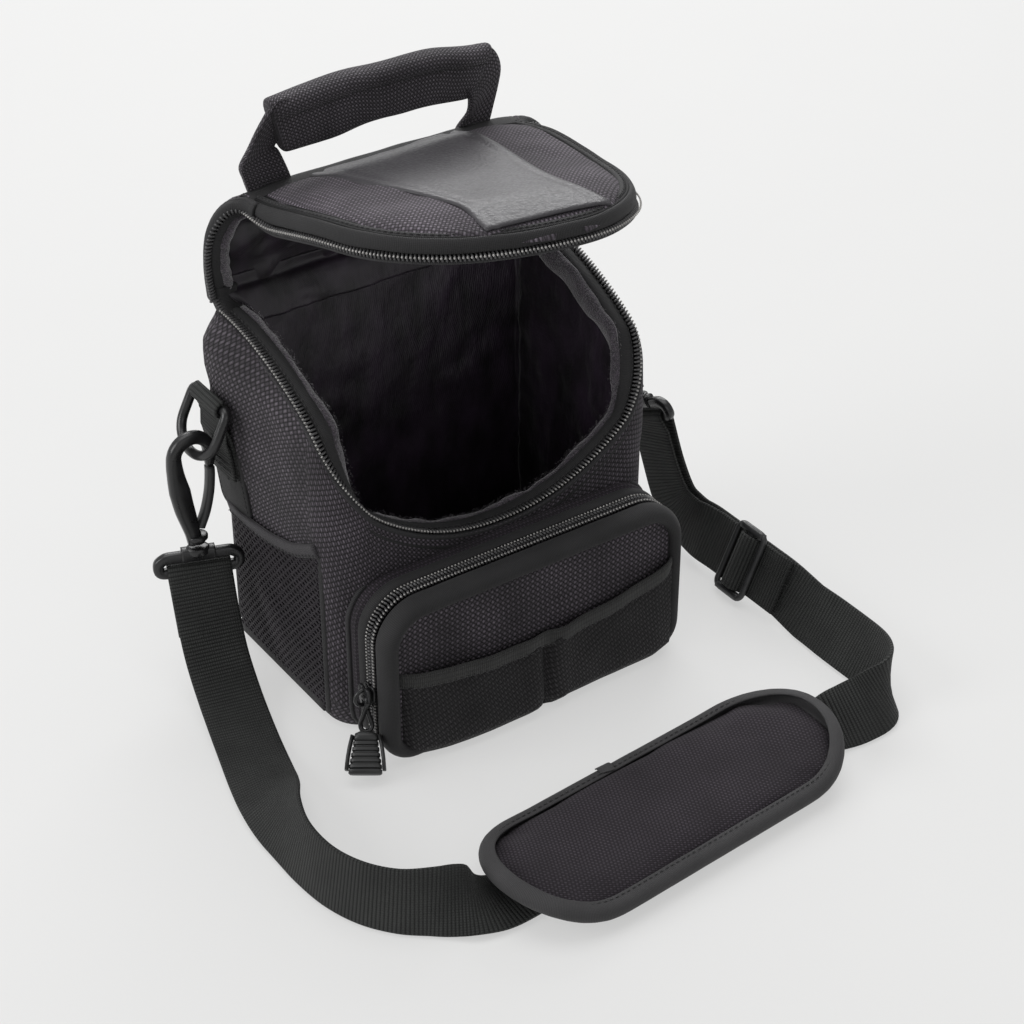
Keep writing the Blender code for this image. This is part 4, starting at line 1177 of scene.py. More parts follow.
def front_rim(x):
    """Height of the opening's edge along the bag's front."""
    reach = HALF_WIDTH - CORNER
    return RIM_FRONT_MIDDLE + (RIM_FRONT_END - RIM_FRONT_MIDDLE) * (abs(x) / reach) ** 2.2


LINING_FLOOR = 8.0
FLOOR_ROUND = 5.0
SIDE_STEPS = 26
ARC_STEPS = 12
FRONT_STEPS = 26


def rim(inset, lift=0.0):
    """The opening's edge from its left back end, round the front, to the right."""
    half = HALF_WIDTH - inset
    left = []
    for i in range(SIDE_STEPS):
        y = blended(BACK - 10, FRONT + CORNER, i / SIDE_STEPS)
        left.append(Vector((-half, y, side_rim(y))))
    centre = (CORNER - HALF_WIDTH, FRONT + CORNER)
    for i, (x, y) in enumerate(arc(centre, CORNER - inset, 180, 270, ARC_STEPS)):
        left.append(Vector((x, y, blended(RIM_SIDE_FRONT, RIM_FRONT_END, i / ARC_STEPS))))
    for i in range(1, FRONT_STEPS):
        x = blended(CORNER - HALF_WIDTH, 0, i / FRONT_STEPS)
        left.append(Vector((x, FRONT + inset, front_rim(x))))
    right = [Vector((-p.x, p.y, p.z)) for p in reversed(left)]
    line = left + [Vector((0, FRONT + inset, RIM_FRONT_MIDDLE))] + right
    heights = softened([Vector((0, 0, p.z)) for p in line], 6)
    return [Vector((p.x, p.y, h.z + lift)) for p, h in zip(line, heights)]


def tub(inset, lift=0.0):
    """The whole outline of the compartment, back included, at its rim heights."""
    radius = 11.0
    corner = arc((HALF_WIDTH - radius, BACK - radius), max(radius - inset, 0.5), 0, 90, 8)
    right = [Vector((x, y, RIM_BACK + lift)) for x, y in corner[1:]]
    back = []
    for i in range(21):
        x = blended(57.0, -57.0, i / 20)
        back.append(Vector((x, BACK - inset, RIM_BACK + HINGE_RISE * eased(60 - abs(x), 0, 8) + lift)))
    left = [Vector((-p.x, p.y, p.z)) for p in reversed(right)]
    return rim(inset, lift) + right + back + left


def outward(points):
    """Level directions square to a closed outline, pointing away from its middle."""
    found = []
    for point, ahead in zip(points, travel(points, True)):
        level = Vector((ahead.y, -ahead.x, 0))
        level = level.normalized() if level.length > 1e-6 else Vector((point.x, point.y, 0)).normalized()
        found.append(level if level.dot(Vector((point.x, point.y - 10, 0))) > 0 else -level)
    return found


def pushed(piece):
    """Lets the padded sides belly out: most at the rear, level with the rings."""
    for vertex in piece.data.vertices:
        x, y, z = vertex.co / MM
        top = side_rim(min(max(y, FRONT + CORNER), BACK - 10))
        along = math.exp(-(((y - 40) / 30) ** 2)) + 0.35 * math.exp(-(((y + 6) / 16) ** 2))
        up = eased(z, 50, 108) * eased(top - z, 1, 14)
        loose = eased(abs(x), 56, 66) * (1 - eased(abs(x), 77, 82))
        vertex.co.x += math.copysign((5.4 + 2.2 * eased(z, 118, 132)) * along * up * loose, x) * MM
    return piece


def shrinking(outline, height):
    """Rings that fill a level outline of (x, y), each nearer to the middle of the bag."""
    shares = (1.0, 0.8, 0.6, 0.4, 0.2, 0.02)
    return grid(shares, outline, lambda share, p: Vector((p[0] * share, 10 + (p[1] - 10) * share, height)))


def body_cloth():
    """The padded outer walls: they belly a little between floor and rim, with shallow folds."""
    top = tub(0, -2.2)
    ways = outward(top)

    def place(share, edge):
        point, way = edge
        z = blended(point.z, 0.0, share)
        tuck = FLOOR_ROUND - math.sqrt(FLOOR_ROUND**2 - max(FLOOR_ROUND - z, 0) ** 2)
        side = abs(way.x)
        rear = max(way.y, 0.0)
        belly = math.sin(math.pi * share) ** 0.8 * (1.3 * rear + 0.9 * side * eased(z, 78, 90))
        here = Vector((point.x, point.y, z))
        fold = ruffle(here, 21.0, 0.9, 2.0) + ruffle(here, 8.0, 0.3, 5.0)
        free = (side * eased(z, 76, 84) + rear) * math.sin(math.pi * share) ** 0.5
        return here + way * (belly - tuck + fold * free * 0.7)

    rows = grid(spaced(0, 1, 44), list(zip(top, ways)), place)
    walls = skin("body_cloth", rows, SIDE_NYLON, wrap=True)
    wear(thick(pushed(walls), 1.5, 0), "root", "nylon_cloth", "outer_shell")
    # The front face is the coarser basket weave
    start = SIDE_STEPS - 1
    end = 2 * (SIDE_STEPS + ARC_STEPS + FRONT_STEPS) - start
    picked = [[row[j] + ways[j] * 0.9 for j in range(start, end + 1)] for row in rows[:-4]]
    front = skin("body_front_cloth", picked, NYLON)
    wear(thick(pushed(front), 0.5, 1), "root", "nylon_cloth")
    rows = shrinking([(p.x * 0.965, p.y * 0.955 + 0.5) for p in top], 0.35)
    base = skin("body_base", rows, BASE_CLOTH, wrap=True, uv=lambda i, j: (rows[i][j].x, rows[i][j].y))
    wear(thick(base, 0.5, 0), "root", "nylon_cloth")


def lining():
    """Padded lining: its satin is loose, so it creases between the rim and the floor."""
    top = tub(8.0, -4.0)

    def place(share, edge):
        point, way = edge
        here = Vector((point.x, point.y, blended(point.z, LINING_FLOOR, share)))
        free = math.sin(math.pi * min(share * 1.02, 1.0)) ** 0.5
        upright = Vector((here.x, here.y, here.z * 0.35))
        crease = abs(ruffle(here, 14.0, 2.6, 7.0)) + ruffle(upright, 7.0, 0.8, 1.0)
        return here - way * (0.2 + free * (0.6 + crease))

    rows = grid(spaced(0, 1, 40), list(zip(top, outward(top))), place)
    walls = skin("lining_walls", rows, LINING, wrap=True)
    wear(thick(walls, 0.8, 0), "root", "padded_lining", "padded_lining")
    rows = shrinking([(p.x, p.y) for p in rows[-1]], LINING_FLOOR)
    base = skin("lining_floor", rows, LINING, wrap=True)
    wear(thick(base, 0.6, 0), "root", "padded_lining")
    rows = []
    for z, inset in ((8.3, 1.2), (9.9, 0.0), (11.5, 1.2)):
        wide, near, far = 58.0 - inset, inset - 21.0, 41.0 - inset
        ring = [Vector((x, y, z)) for x, y in ((wide, near), (wide, far), (-wide, far), (-wide, near))]
        rows.append(softened(resampled(ring, 4.0, True), 2, True))
    pad = skin("base_cushion", rows, LINING, wrap=True, caps=True)
    inflated(pad, 1.5, 2.2, hold=lambda point: eased(point.z, 9.0, 10.2))
    map_cloth(rounded(pad), lambda point, normal: (point.x, point.y))
    wear(pad, "root", "padded_lining", "base_pad")


def rim_strip(name, shape):
    """A strip of tape along the rim, from the (inset, height) points of its section."""
    rows = turned([rim(inset, height) for inset, height in shape])
    return skin(name, rows, TWILL_TAPE, wrap=True, caps=True)


def rim_trim():
    """Zip, tape and pile trim round the opening, and the smooth border under it outside."""
    level = rim(0.9, -0.7)
    out = away_from(level, rim(6.0, -0.7))
    coil = teeth("rim_zip_coil", level, out, COIL, 1.55, (3.3, 1.1, 1.6), slant=0.12)
    wear(coil, "root", "zip_coil", "body_zip_teeth")
    # A bright bead on the outer tip of each tooth: a painted glint.
    tip_glints = teeth("rim_coil_tip_glints", rim(-0.45, -0.3), out, BRIGHT_THREAD_AND_GLINT, 1.55, (1.0, 0.8, 0.8))
    wear(tip_glints, "root", "zip_coil")
    cord = pipe("rim_edge_cord", rim(-0.1, -3.0), 1.1, TAPE)
    wear(cord, "root", "binding_tape")
    shape = [(-0.35, -3.2), (-0.75, -4.6), (-0.95, -7.4), (-0.75, -10.4), (-0.1, -11.0), (0.3, -7.0)]
    shape += [(0.4, -3.2)]
    border = rim_strip("rim_border", shape)
    wear(border, "root", "binding_tape")
    shape = [(2.3, -2.2), (2.5, -1.1), (3.6, -0.3), (5.6, 0.1), (7.4, -0.4), (8.2, -1.9), (7.6, -3.2)]
    shape += [(4.0, -2.8)]
    tape = rim_strip("rim_zip_tape", shape)
    wear(rounded(tape), "root", "binding_tape", "body_zip_tape")
    sewn = stitches("rim_stitches", rim(3.0, -0.3), UP, 2.6, 1.7, 0.35)
    wear(sewn, "root", "binding_tape")
    profile = [(7.0, -4.0), (7.0, -2.6), (7.3, -1.5), (7.9, -0.7), (8.9, -0.4), (9.9, -0.8), (10.7, -2.0)]
    profile += [(11.2, -4.2), (11.0, -7.0), (10.2, -9.4), (9.2, -10.2), (8.4, -9.0), (7.9, -5.0)]
    paths = [rim(inset, height) for inset, height in profile]
    middle = Vector((0, 5, 0))
    draw = random.Random(5)
    plush_rows = []
    for i in range(len(paths[0])):
        row = []
        for path in paths:
            point = path[i]
            tuft = random_step(draw, 0.2)
            inward = (middle - Vector((point.x, point.y, 0))).normalized()
            wavy = ruffle(point, 9.0, 1.6, 4.0) + ruffle(point, 4.0, 0.6, 1.0)
            row.append(point + tuft + inward * wavy + Vector((0, 0, ruffle(point, 7.0, 1.1, 8.0))))
        plush_rows.append(row)
    trim = skin("rim_plush", plush_rows, PLUSH, wrap=True, caps=True)
    wear(rounded(trim), "root", "plush_trim", "rim_trim")
    hairs = []
    spine = [sum((row[k] for k in (3, 4, 5, 6)), Vector()) / 4 for row in plush_rows]
    for point in resampled(spine, 0.45):
        for _ in range(5):
            spot = draw.uniform(-1.9, 1.9), draw.uniform(-1.9, 1.9), draw.uniform(-0.8, 0.6)
            base = point + Vector(spot)
            lean = draw.uniform(-1, 1), draw.uniform(-1, 1), draw.uniform(0.1, 0.9)
            lean = Vector(lean).normalized()
            hairs.append((base, lean, lean.orthogonal().normalized()))
    wear(repeated("rim_pile", bead(1.1, 0.16, 0.16, 2, 3), hairs, PLUSH), "root", "plush_trim")


def net_edge(y):
    """Height of the side pocket's top edge."""
    marks = [(46, 62.0), (30, 63.0), (10, 66.0), (-6, 70.5), (-20, 78.0)]
    for (a, low), (b, high) in zip(marks, marks[1:]):
        if y >= b:
            return blended(low, high, (a - y) / (a - b))
    return 78.0


def side_pocket(side):
    """Net pocket: six-sided holes between zigzag strands, over a dark panel, with a bound top."""
    suffix = SUFFIX[side]
    net = bmesh.new()
    pitch_y, pitch_z = 3.3, 1.9

    def surface(y, z):
        y = max(min(y, 47.0), -20.5)
        up = min(max((z - 4) / (net_edge(y) - 4), 0.0), 1.0)
        along = min(max((y + 22) / 69, 0.0), 1.0)
        free = math.sin(math.pi * up) * math.sin(math.pi * along)
        point = Vector((0, y, z))
        belly = 1.5 * free + ruffle(point, 16.0, 0.8, 6.0 + side) * free
        return Vector((side * (HALF_WIDTH + 1.0 + belly), y, z))

    for column in range(int(68 / pitch_y)):
        for row in range(int(80 / pitch_z)):
            y = -19.0 + column * pitch_y + (pitch_y / 2 if row % 2 else 0)
            z = 6.0 + row * pitch_z
            if z > net_edge(y) + 1.5 or y > 46.0:
                continue
            cell = []
            for dy, dz in ((0, 1.3), (0.5, 0.55), (0.5, -0.55), (0, -1.3), (-0.5, -0.55), (-0.5, 0.55)):
                sway = 0.35 * math.sin(z * 0.9 + column * 2.1)
                cell.append((y + dy * pitch_y + sway * 0.4, z + dz))
            y, z = sum(a for a, _ in cell) / 6, sum(b for _, b in cell) / 6
            hole = [(y + (a - y) * 0.62, z + (b - z) * 0.58) for a, b in cell]
            outer = [net.verts.new(surface(a, b) * MM) for a, b in cell]
            inner = [net.verts.new(surface(a, b) * MM) for a, b in hole]
            for i in range(6):
                j = (i + 1) % 6
                net.faces.new((outer[i], outer[j], inner[j], inner[i]))
    bmesh.ops.remove_doubles(net, verts=net.verts, dist=0.00005)
    piece = add_mesh("side_net_" + suffix, [], [], NET)
    net.to_mesh(piece.data)
    net.free()
    piece.data.shade_smooth()
    map_cloth(piece, lambda point, normal: (point.y, point.z))
    wear(thick(pushed(piece), 0.55, 0), "root", "pocket_mesh", "side_pocket_" + suffix)
    wall = side * (HALF_WIDTH + 0.75)
    rows = []
    for y in spaced(47.0, -20.0, 11):
        rows.append([Vector((wall, y, z)) for z in spaced(4.5, net_edge(y) + 2, 6)])
    dark = pushed(skin("side_dark_" + suffix, rows, BASE_CLOTH))
    wear(thick(dark, 0.3, 0), "root", "pocket_mesh")
    path = []
    for i in range(34):
        y = blended(46.5, -20.5, i / 33)
        sag = 1.1 * math.sin(math.pi * i / 33)
        path.append(Vector((side * (HALF_WIDTH + 1.2 + sag), y, net_edge(y) + 2.6)))
    path = softened(path, 3)
    level = Vector((side * 0.12, 0, 1))
    cuff = sweep("side_cuff_" + suffix, path, flat_profile(5.6, 2.0, 6, 0.9), SIDE_ELASTIC, level)
    wear(pushed(cuff), "root", "binding_tape", "side_binding_" + suffix)
    places = []
    for i, point in enumerate(resampled(path, 1.3)):
        lean = Vector((0, 0.8 if i % 2 else -0.8, 0.6)).normalized()
        places.append((point + Vector((side * 1.05, 0, -2.0)), lean, Vector((side, 0, 0))))
    zigzag = repeated("side_zigzag_" + suffix, bead(1.7, 0.35, 0.35), places, THREAD)
    wear(pushed(zigzag), "root", "binding_tape")
    foot = [Vector((side * (HALF_WIDTH + 0.9), y, 5.2)) for y in (46.0, 20.0, 0.0, -18.0)]
    hem = band("side_hem_" + suffix, resampled(foot, 3.0), 4.0, 1.0, TWILL_TAPE, UP)
    wear(hem, "root", "binding_tape")


def corner_seams():
    """Bound seams down the front corners and the back corners of the bag."""
    for side in (-1, 1):
        path = [Vector((side * (HALF_WIDTH + 0.4), FRONT + CORNER - 1.0, z)) for z in range(5, 82, 3)]
        level = Vector((side * 0.25, 1, 0))
        tape = sweep("corner_seam_" + SUFFIX[side], path, flat_profile(2.6, 2.0, 6, 0.8), TWILL_TAPE, level)
        wear(tape, "root", "binding_tape")
        path = [Vector((side * (HALF_WIDTH - 2.4), BACK - 2.4, z)) for z in range(5, 148, 4)]
        cord = pipe("back_seam_" + SUFFIX[side], path, 1.3, TAPE)
        wear(cord, "root", "binding_tape")
    line = [Vector((p.x * 0.992, 10 + (p.y - 10) * 0.99, 3.2)) for p in tub(0)]
    seam = pipe("base_seam", softened(line, 2, True), 1.1, TAPE, True, 8)
    wear(seam, "root", "binding_tape")


def ring_tab(side):
    """Webbing loop round the ring's bar, sewn on over a rounded patch."""
    suffix = SUFFIX[side]
    outline = box_outline(TAB_PATCH[0] / 2, TAB_PATCH[1] / 2, 4.5)

    def lay(lift, wide, high):
        stand = side * (HALF_WIDTH + 0.9 + lift)
        return [Vector((stand, TAB_Y + y * wide, TAB_PATCH_Z + z * high)) for y, z in outline]

    shape = ((1.0, 0.0), (1.0, 0.7), (0.96, 1.0), (0.6, 1.15), (0.3, 1.15), (0.05, 1.15))
    rows = [lay(lift, share, share) for share, lift in shape]
    flat = [[(p.y, p.z) for p in row] for row in rows]
    patch = skin("tab_patch_" + suffix, rows, TWILL_TAPE, wrap=True, uv=lambda i, j: flat[i][j])
    wear(pushed(patch), "root", "binding_tape")
    out = Vector((side, 0, 0))
    sewn = stitches("tab_patch_stitches_" + suffix, lay(1.15, 0.85, 0.9), out, 2.4, 1.7, 0.4, True)
    wear(pushed(sewn), "root", "webbing")
    wall = HALF_WIDTH + 1.2
    wrap = RING_WIRE + 1.1
    inner = [(wall + 0.9, 86.0), (wall + 0.9, 96.0), (wall + 1.8, 105.0)]
    outer = [(wall + 4.1, 104.0), (wall + 2.6, 96.0), (wall + 2.6, 86.0)]
    loop = arc((RING_BAR.x, RING_BAR.z), wrap, 215, -65, 14)
    path = curved([Vector((side * x, TAB_Y, z)) for x, z in inner + loop + outer], 2)
    tab = band("tab_webbing_" + suffix, path, 20.0, 1.3, WEB, REARWARD, steps=8)
    wear(pushed(tab), "root", "webbing", "tab_" + suffix)
    for number, z in enumerate((90.0, 93.5, 97.0)):
        path = [Vector((side * (wall + 3.4), y, z)) for y in (32.0, 40.0, 48.0)]
        seam = stitches(f"tab_bar_tack_{suffix}_{number}", path, out, 1.5, 1.4, 0.45)
        wear(pushed(seam), "root", "webbing")


body_cloth()
lining()
rim_trim()
corner_seams()
for lean in (-1, 1):
    side_pocket(lean)
    ring_tab(lean)


# Lid


def on_top(x, run, height):
    """A point of the top panel: across, forward from the ridge, and above its face."""
    return RIDGE + Vector((x, 0, 0)) + FORWARD * run + NORMAL * height


def on_back(x, rise, depth):
    """A point of the back panel: across, up from the hinge, and in from its outer face."""
    return FOOT + Vector((x, 0, 0)) + UPWARD * rise + INWARD * depth


def on_lid(x, run, height):
    """The top panel as it lies: its left side arches up, its right side and its front droop."""
    roll = -4.6 * (x / 62) * eased(run, 8, 62)
    droop = 1.2 * eased(run, 84, 112) + 0.8 * (min(abs(x), 70) / 66) ** 3
    return on_top(x, run, height + roll - droop)


def band_depth(run):
    """How far the turned-down side of the lid reaches."""
    return 8.8 - 4.2 * (1 - eased(run, 2, 26)) - 1.0 * eased(run, 70, 105)


def flare(run):
    """How far the lid's lower edge stands out from its upper edge."""
    return 0.8 + 1.6 * (1 - eased(run, 0, 70))


# The lid's outline, across and forward from the ridge. It leans to the right, as the cloth lies.
LID_SHAPE = [(-60, 0), (-60, 14), (-59.5, 34), (-58, 54), (-54.5, 71), (-48, 85), (-38, 95.5)]
LID_SHAPE += [(-25, 102.5), (-9, 106.5), (8, 108), (23, 107), (36, 102.5), (48, 94), (57, 81)]
LID_SHAPE += [(63, 64), (66, 44), (66, 24), (63.5, 10), (60, 0)]
LID_EDGE = resampled(curved([Vector((x, run, 0)) for x, run in LID_SHAPE], 6), 2.2)
LID_WAYS = travel(LID_EDGE)


def lid_line(inset, height, first=0.0):
    """A line `inset` inside the lid's outline, from the left end of the ridge round to the right."""
    line = []
    for point, ahead in zip(LID_EDGE, LID_WAYS):
        x, run = point.x, point.y
        if run < first:
            continue
        off = inset(run) if callable(inset) else inset
        tall = height(run) if callable(height) else height
        line.append(on_lid(x + ahead.y * off, run - ahead.x * off, tall))
    return line


LID_FRONT = max(point.y for point in LID_EDGE)


def lid_ends(run, inset=0.0):
    """Where the lid's outline crosses a line at `run`: left and right."""
    tip = max(LID_EDGE, key=lambda point: point.y).x
    found = [tip, tip]
    for a, b in zip(LID_EDGE, LID_EDGE[1:]):
        if min(a.y, b.y) <= run <= max(a.y, b.y) and a.y != b.y:
            x = blended(a.x, b.x, (run - a.y) / (b.y - a.y))
            found = [x, found[1]] if a.y < b.y else [found[0], x]
    middle = (found[0] + found[1]) / 2
    half = max((found[1] - found[0]) / 2 - inset, 0.5)
    return middle - half, middle + half


def lid_runs():
    """Rows of the top panel, closer together where its outline turns in."""
    straight = [blended(0.2, 60, i / 18) for i in range(18)]
    reach = LID_FRONT - 60 - 0.3
    return straight + [60 + reach * math.sin(math.radians(90 * i / 22)) for i in range(23)]


ACROSS_SHARES = [i / 20 - 1 for i in range(41)]
FOLD_START = on_top(0, FOLD_AT - 8, -4)
FOLD_END = on_top(0, FOLD_AT + 8, -4)
RIDGE_START = on_back(0, PANEL_RISE - 7, 0)
RIDGE_END = on_top(0, 8, 0)


def fold_piece(piece, slot, *nodes):
    """A piece of the lid's top, baked in place by bend(), which hides its CAD nodes."""
    return bend(piece, "lid_middle", "lid_front", FOLD_START, FOLD_END, slot, *nodes)


def ridge_piece(piece, slot, *nodes):
    """A piece at the lid's ridge, baked in place by bend(), which hides its CAD nodes."""
    return bend(piece, "lid_back", "lid_middle", RIDGE_START, RIDGE_END, slot, *nodes)


def crown(x, run):
    """The top panel's swell, padded under the patch and sunk beside the piping."""
    left, right = lid_ends(run)
    share = min(abs(2 * (x - left) / max(right - left, 1) - 1), 1)
    swell = 3.0 * (1 - share**2.2) * eased(run, 2, 18) * eased(LID_FRONT - run, 2, 26)
    return swell - 1.0 * eased(share, 0.72, 0.88) * (1 - eased(share, 0.92, 1.0))


def edge_dip(x, run):
    """The panel goes down under its padded edge roll."""
    left, right = lid_ends(run)
    edge = min(x - left, right - x, (LID_FRONT - run) * 1.1)
    return 2.6 * (1 - eased(edge, 4.0, 8.5)) * eased(run, 3, 8)


def lid_top_cloth():
    """The woven top of the lid, with folds that fade out under the patch."""

    def place(x, run):
        here = on_top(x, run, 0)
        fold = (ruffle(here, 17.0, 1.1, 9.0) + ruffle(here, 7.0, 0.3, 2.0)) * eased(run, 6, 16)
        still = 1 - eased(abs(x - patch_middle(run)), 18, 30)
        height = crown(x, run) + fold * (1 - still) - 0.3 - 0.4 * still
        return on_lid(x, run, height - edge_dip(x, run))

    rows = [[place(x, run) for x in spaced(*lid_ends(run, 0.6), 48)] for run in lid_runs()]
    flat = [[(x, run) for x in spaced(*lid_ends(run), 48)] for run in lid_runs()]
    cloth = skin("lid_top_cloth", rows, LID_NYLON, uv=lambda i, j: flat[i][j])
    thick(cloth, 1.6, -1)
    fold_piece(cloth, "nylon_cloth", "lid_middle_panel", "lid_front_panel")


def lid_under():
    """The creased lining under the top panel."""

    def place(x, run):
        return on_lid(x, run, -4.0 + ruffle(on_top(x, run, 0), 10.0, 1.0, 12.0) * 0.6)

    rows = [[place(x, run) for x in spaced(*lid_ends(run, 1.0), 34)] for run in lid_runs()[1:]]
    cloth = skin("lid_top_lining", rows, LINING)
    thick(cloth, 0.8, 0)
    fold_piece(cloth, "padded_lining", "lid_middle_lining", "lid_front_lining")


def lid_edges():
    """The turned-down band, padded edge roll, zip and tape that follow the lid's outline."""

    def line_at(inset, share, height=0.0):
        """A line on the band: `share` of the way down it, `inset` in from its outer face."""
        return lid_line(
            lambda run: inset - share * flare(run),
            lambda run: height - share * band_depth(run),
        )

    def strip(name, shape, wave=0.0):
        rows = turned([line_at(*entry) for entry in shape])
        rows = [[p + NORMAL * ruffle(p, 13.0, wave, 1.0) for p in row] for row in rows]
        return skin(name, rows, TWILL_TAPE, wrap=True, caps=True)

    shape = [(2.6, 0.0, -1.2), (1.9, 0.0, 0.2), (0.8, 0.0, 0.3), (0.0, 0.05, -0.3), (-0.3, 0.15, -0.3)]
    shape += [(-0.4, 0.3, 0), (-0.3, 0.45, 0), (0.0, 0.6, 0), (0.6, 0.64, 0), (2.2, 0.6, 0), (2.8, 0.3, 0)]
    ring = strip("lid_band", shape, 0.35)
    fold_piece(rounded(ring), "nylon_cloth", "lid_front_band")
    shape = [(2.9, 0, -0.9), (3.0, 0, 0.2), (3.7, 0, 0.75), (4.9, 0, 0.8), (5.8, 0, 0.3), (5.9, 0, -0.9)]
    roll = strip("lid_edge_roll", shape)
    nodes = ("lid_middle_piping_left", "lid_middle_piping_right", "lid_front_piping")
    fold_piece(rounded(roll), "binding_tape", *nodes)
    # Near-black cords on both sides of the edge roll: painted shade in the creases there.
    for name, inset in (("outer", 2.5), ("inner", 6.5)):
        groove_shade = pipe("lid_groove_shade_" + name, lid_line(inset, -0.35, 2.0), 0.75, GROOVE_SHADE, steps=8)
        fold_piece(groove_shade, "binding_tape")
    sewn = stitches("lid_edge_stitches", lid_line(3.5, 0.75, 2.0), NORMAL, 2.4, 1.5, 0.4)
    fold_piece(sewn, "binding_tape")
    level = line_at(0.5, 0.8)
    out = away_from(level, line_at(6.0, -0.1))
    coil = teeth("lid_zip_coil", level, out, COIL, 1.5, (3.4, 1.05, 1.7), slant=0.25)
    fold_piece(coil, "zip_coil", "lid_middle_zip_left", "lid_middle_zip_right", "lid_front_zip")
    # A bright bead on the outer tip of each tooth: a painted glint.
    tip_glints = teeth("lid_coil_tip_glints", line_at(-1.5, 0.72), out, BRIGHT_THREAD_AND_GLINT, 1.5, (0.9, 0.75, 0.75))
    fold_piece(tip_glints, "zip_coil")
    shape = [(0.8, 1.0, 0.8), (0.5, 1.0, 0), (1.2, 1.0, -0.5), (5.6, 1.0, -0.2), (5.8, 1.0, 0.6)]
    fold_piece(strip("lid_zip_tape", shape + [(3.0, 0.8, 0.8)]), "binding_tape")
    edge = pipe("lid_zip_edge", line_at(0.9, 1.0, -0.1), 0.75, TAPE, steps=8)
    fold_piece(edge, "binding_tape")


def patch_half(run):
    """Half width of the smooth patch: it narrows forward in a shallow S and flares at both ends."""
    body = blended(31.0, 24.0, eased(run, 6, 96))
    ends = 2.5 * (1 - eased(run, 2, 22)) + 2.0 * eased(run, 80, 100)
    return body + ends + 1.4 * math.sin(run / 96 * 2 * math.pi)


def patch_middle(run):
    """The patch slants to the right toward the front."""
    return blended(0.0, 7.0, run / 100)


def lid_patch():
    """The leatherette patch, with a sewn line sunk beside each of its long edges."""
    runs = spaced(2.0, 101.0, 46)

    def place(run, share):
        x = patch_middle(run) + patch_half(run) * share
        edge = 1 - abs(share)
        sewn = math.exp(-(((edge - 0.15) / 0.03) ** 2))
        lip = 0.9 - 0.5 * (1 - eased(edge, 0.0, 0.05)) - 0.5 * sewn
        soft = ruffle(on_top(x, run, 0), 26.0, 0.35, 2.0)
        return on_lid(x, run, crown(x, run) + lip + soft - edge_dip(x, run))

    rows = grid(runs, [i / 18 - 1 for i in range(37)], place)
    patch = skin("lid_patch", rows, LEATHER, uv=lambda i, j: (rows[i][j].x, runs[i]))
    thick(patch, 1.2, -1)
    fold_piece(patch, "leatherette", "leather_patch_middle", "leather_patch_front")
    # The seam and shadow cords are near-black: painted shade in the sunk sewn line, and a painted shadow just
    # outside the patch's edge. The edge cord is leatherette.
    lines = (("seam", 4.6, 0.72, 0.32, GROOVE_SHADE), ("shadow", -0.5, 0.05, 0.5, GROOVE_SHADE))
    lines += (("edge", 0.6, 0.55, 0.6, LEATHER),)
    for side in (-1, 1):
        for name, inset, height, radius, material in lines:
            line = []
            for run in runs:
                x = patch_middle(run) + side * (patch_half(run) - inset)
                line.append(on_lid(x, run, crown(x, run) + height))
            cord = pipe(f"patch_{name}_{SUFFIX[side]}", line, radius, material, steps=8)
            fold_piece(cord, "leatherette")


def back_half(rise):
    """Half width of the back panel: as wide as the bag, with rounded shoulders under the ridge."""
    drop = max(PANEL_RISE - rise, 0.0)
    if drop > 15:
        return 73.0 - 1.5 * (1 - eased(rise, 0, 14))
    return 58.0 + 15.0 * math.sqrt(max(1 - ((15 - drop) / 15) ** 2.4, 0))


def lid_back():
    """The panel that leans from the hinge to the ridge, and its lining."""
    rises = spaced(0.6, PANEL_RISE - 16, 10)[:-1]
    rises += [PANEL_RISE - 16 + 15.4 * math.sin(math.radians(90 * i / 14)) for i in range(15)]

    def outside(rise, share):
        x = back_half(rise) * share
        swell = 0.9 * (1 - abs(share) ** 3) * math.sin(math.pi * min(rise / PANEL_RISE, 1))
        return on_back(x, rise, -swell - ruffle(on_back(x, rise, 0), 16.0, 0.4, 4.0))

    def within(rise, share):
        half = back_half(rise) - 2.0
        x = half * share
        crease = abs(ruffle(on_back(x, rise, 0), 12.0, 4.5, 8.0))
        crease += abs(ruffle(Vector((x * 0.5, 0, rise)), 5.0, 1.5, 3.0))
        return on_back(x, rise, 2.4 + crease * eased(half - abs(x), 1, 10))

    rows = grid(rises, ACROSS_SHARES, outside)
    cloth = skin("lid_back_cloth", rows, LID_NYLON)
    thick(cloth, 1.2, 0)
    wear(cloth, "lid_back", "nylon_cloth", "lid_back_panel")
    rows = grid(rises, [i / 30 - 1 for i in range(61)], within)
    inside = skin("lid_back_lining_cloth", rows, LINING)
    wear(thick(inside, 0.7, 0), "lid_back", "padded_lining", "lid_back_lining")


def side_paths(side):
    """Two lines round the lid's rear corner, down to the hinge: the panel's edge and the zip's edge."""
    panel = [on_lid(side * 59.8, 12, -0.6), on_lid(side * 59.6, 4, -0.5)]
    panel += [on_back(side * (back_half(rise) - 0.3), rise, 0.4) for rise in (39.0, 36, 32, 27, 18, 9, 1)]
    zipped = [on_lid(side * (59.8 + 0.8 * flare(12)), 12, -0.8 * band_depth(12))]
    zipped += [on_lid(side * (60.0 + 0.8 * flare(6)), 6.5, -0.8 * band_depth(6.5))]
    marks = ((66.0, 38.0, 4.4), (69.8, 36.2, 4.6), (73.4, 32.4, 5.1), (75.6, 27.4, 5.7), (76.3, 21.0, 6.3))
    marks += ((75.8, 13.0, 6.8), (74.6, 6.0, 7.2), (73.6, 1.0, 7.0))
    zipped += [on_back(side * x, rise, depth) for x, rise, depth in marks]
    return resampled(curved(panel, 6), 1.5), resampled(curved(zipped, 6), 1.5)


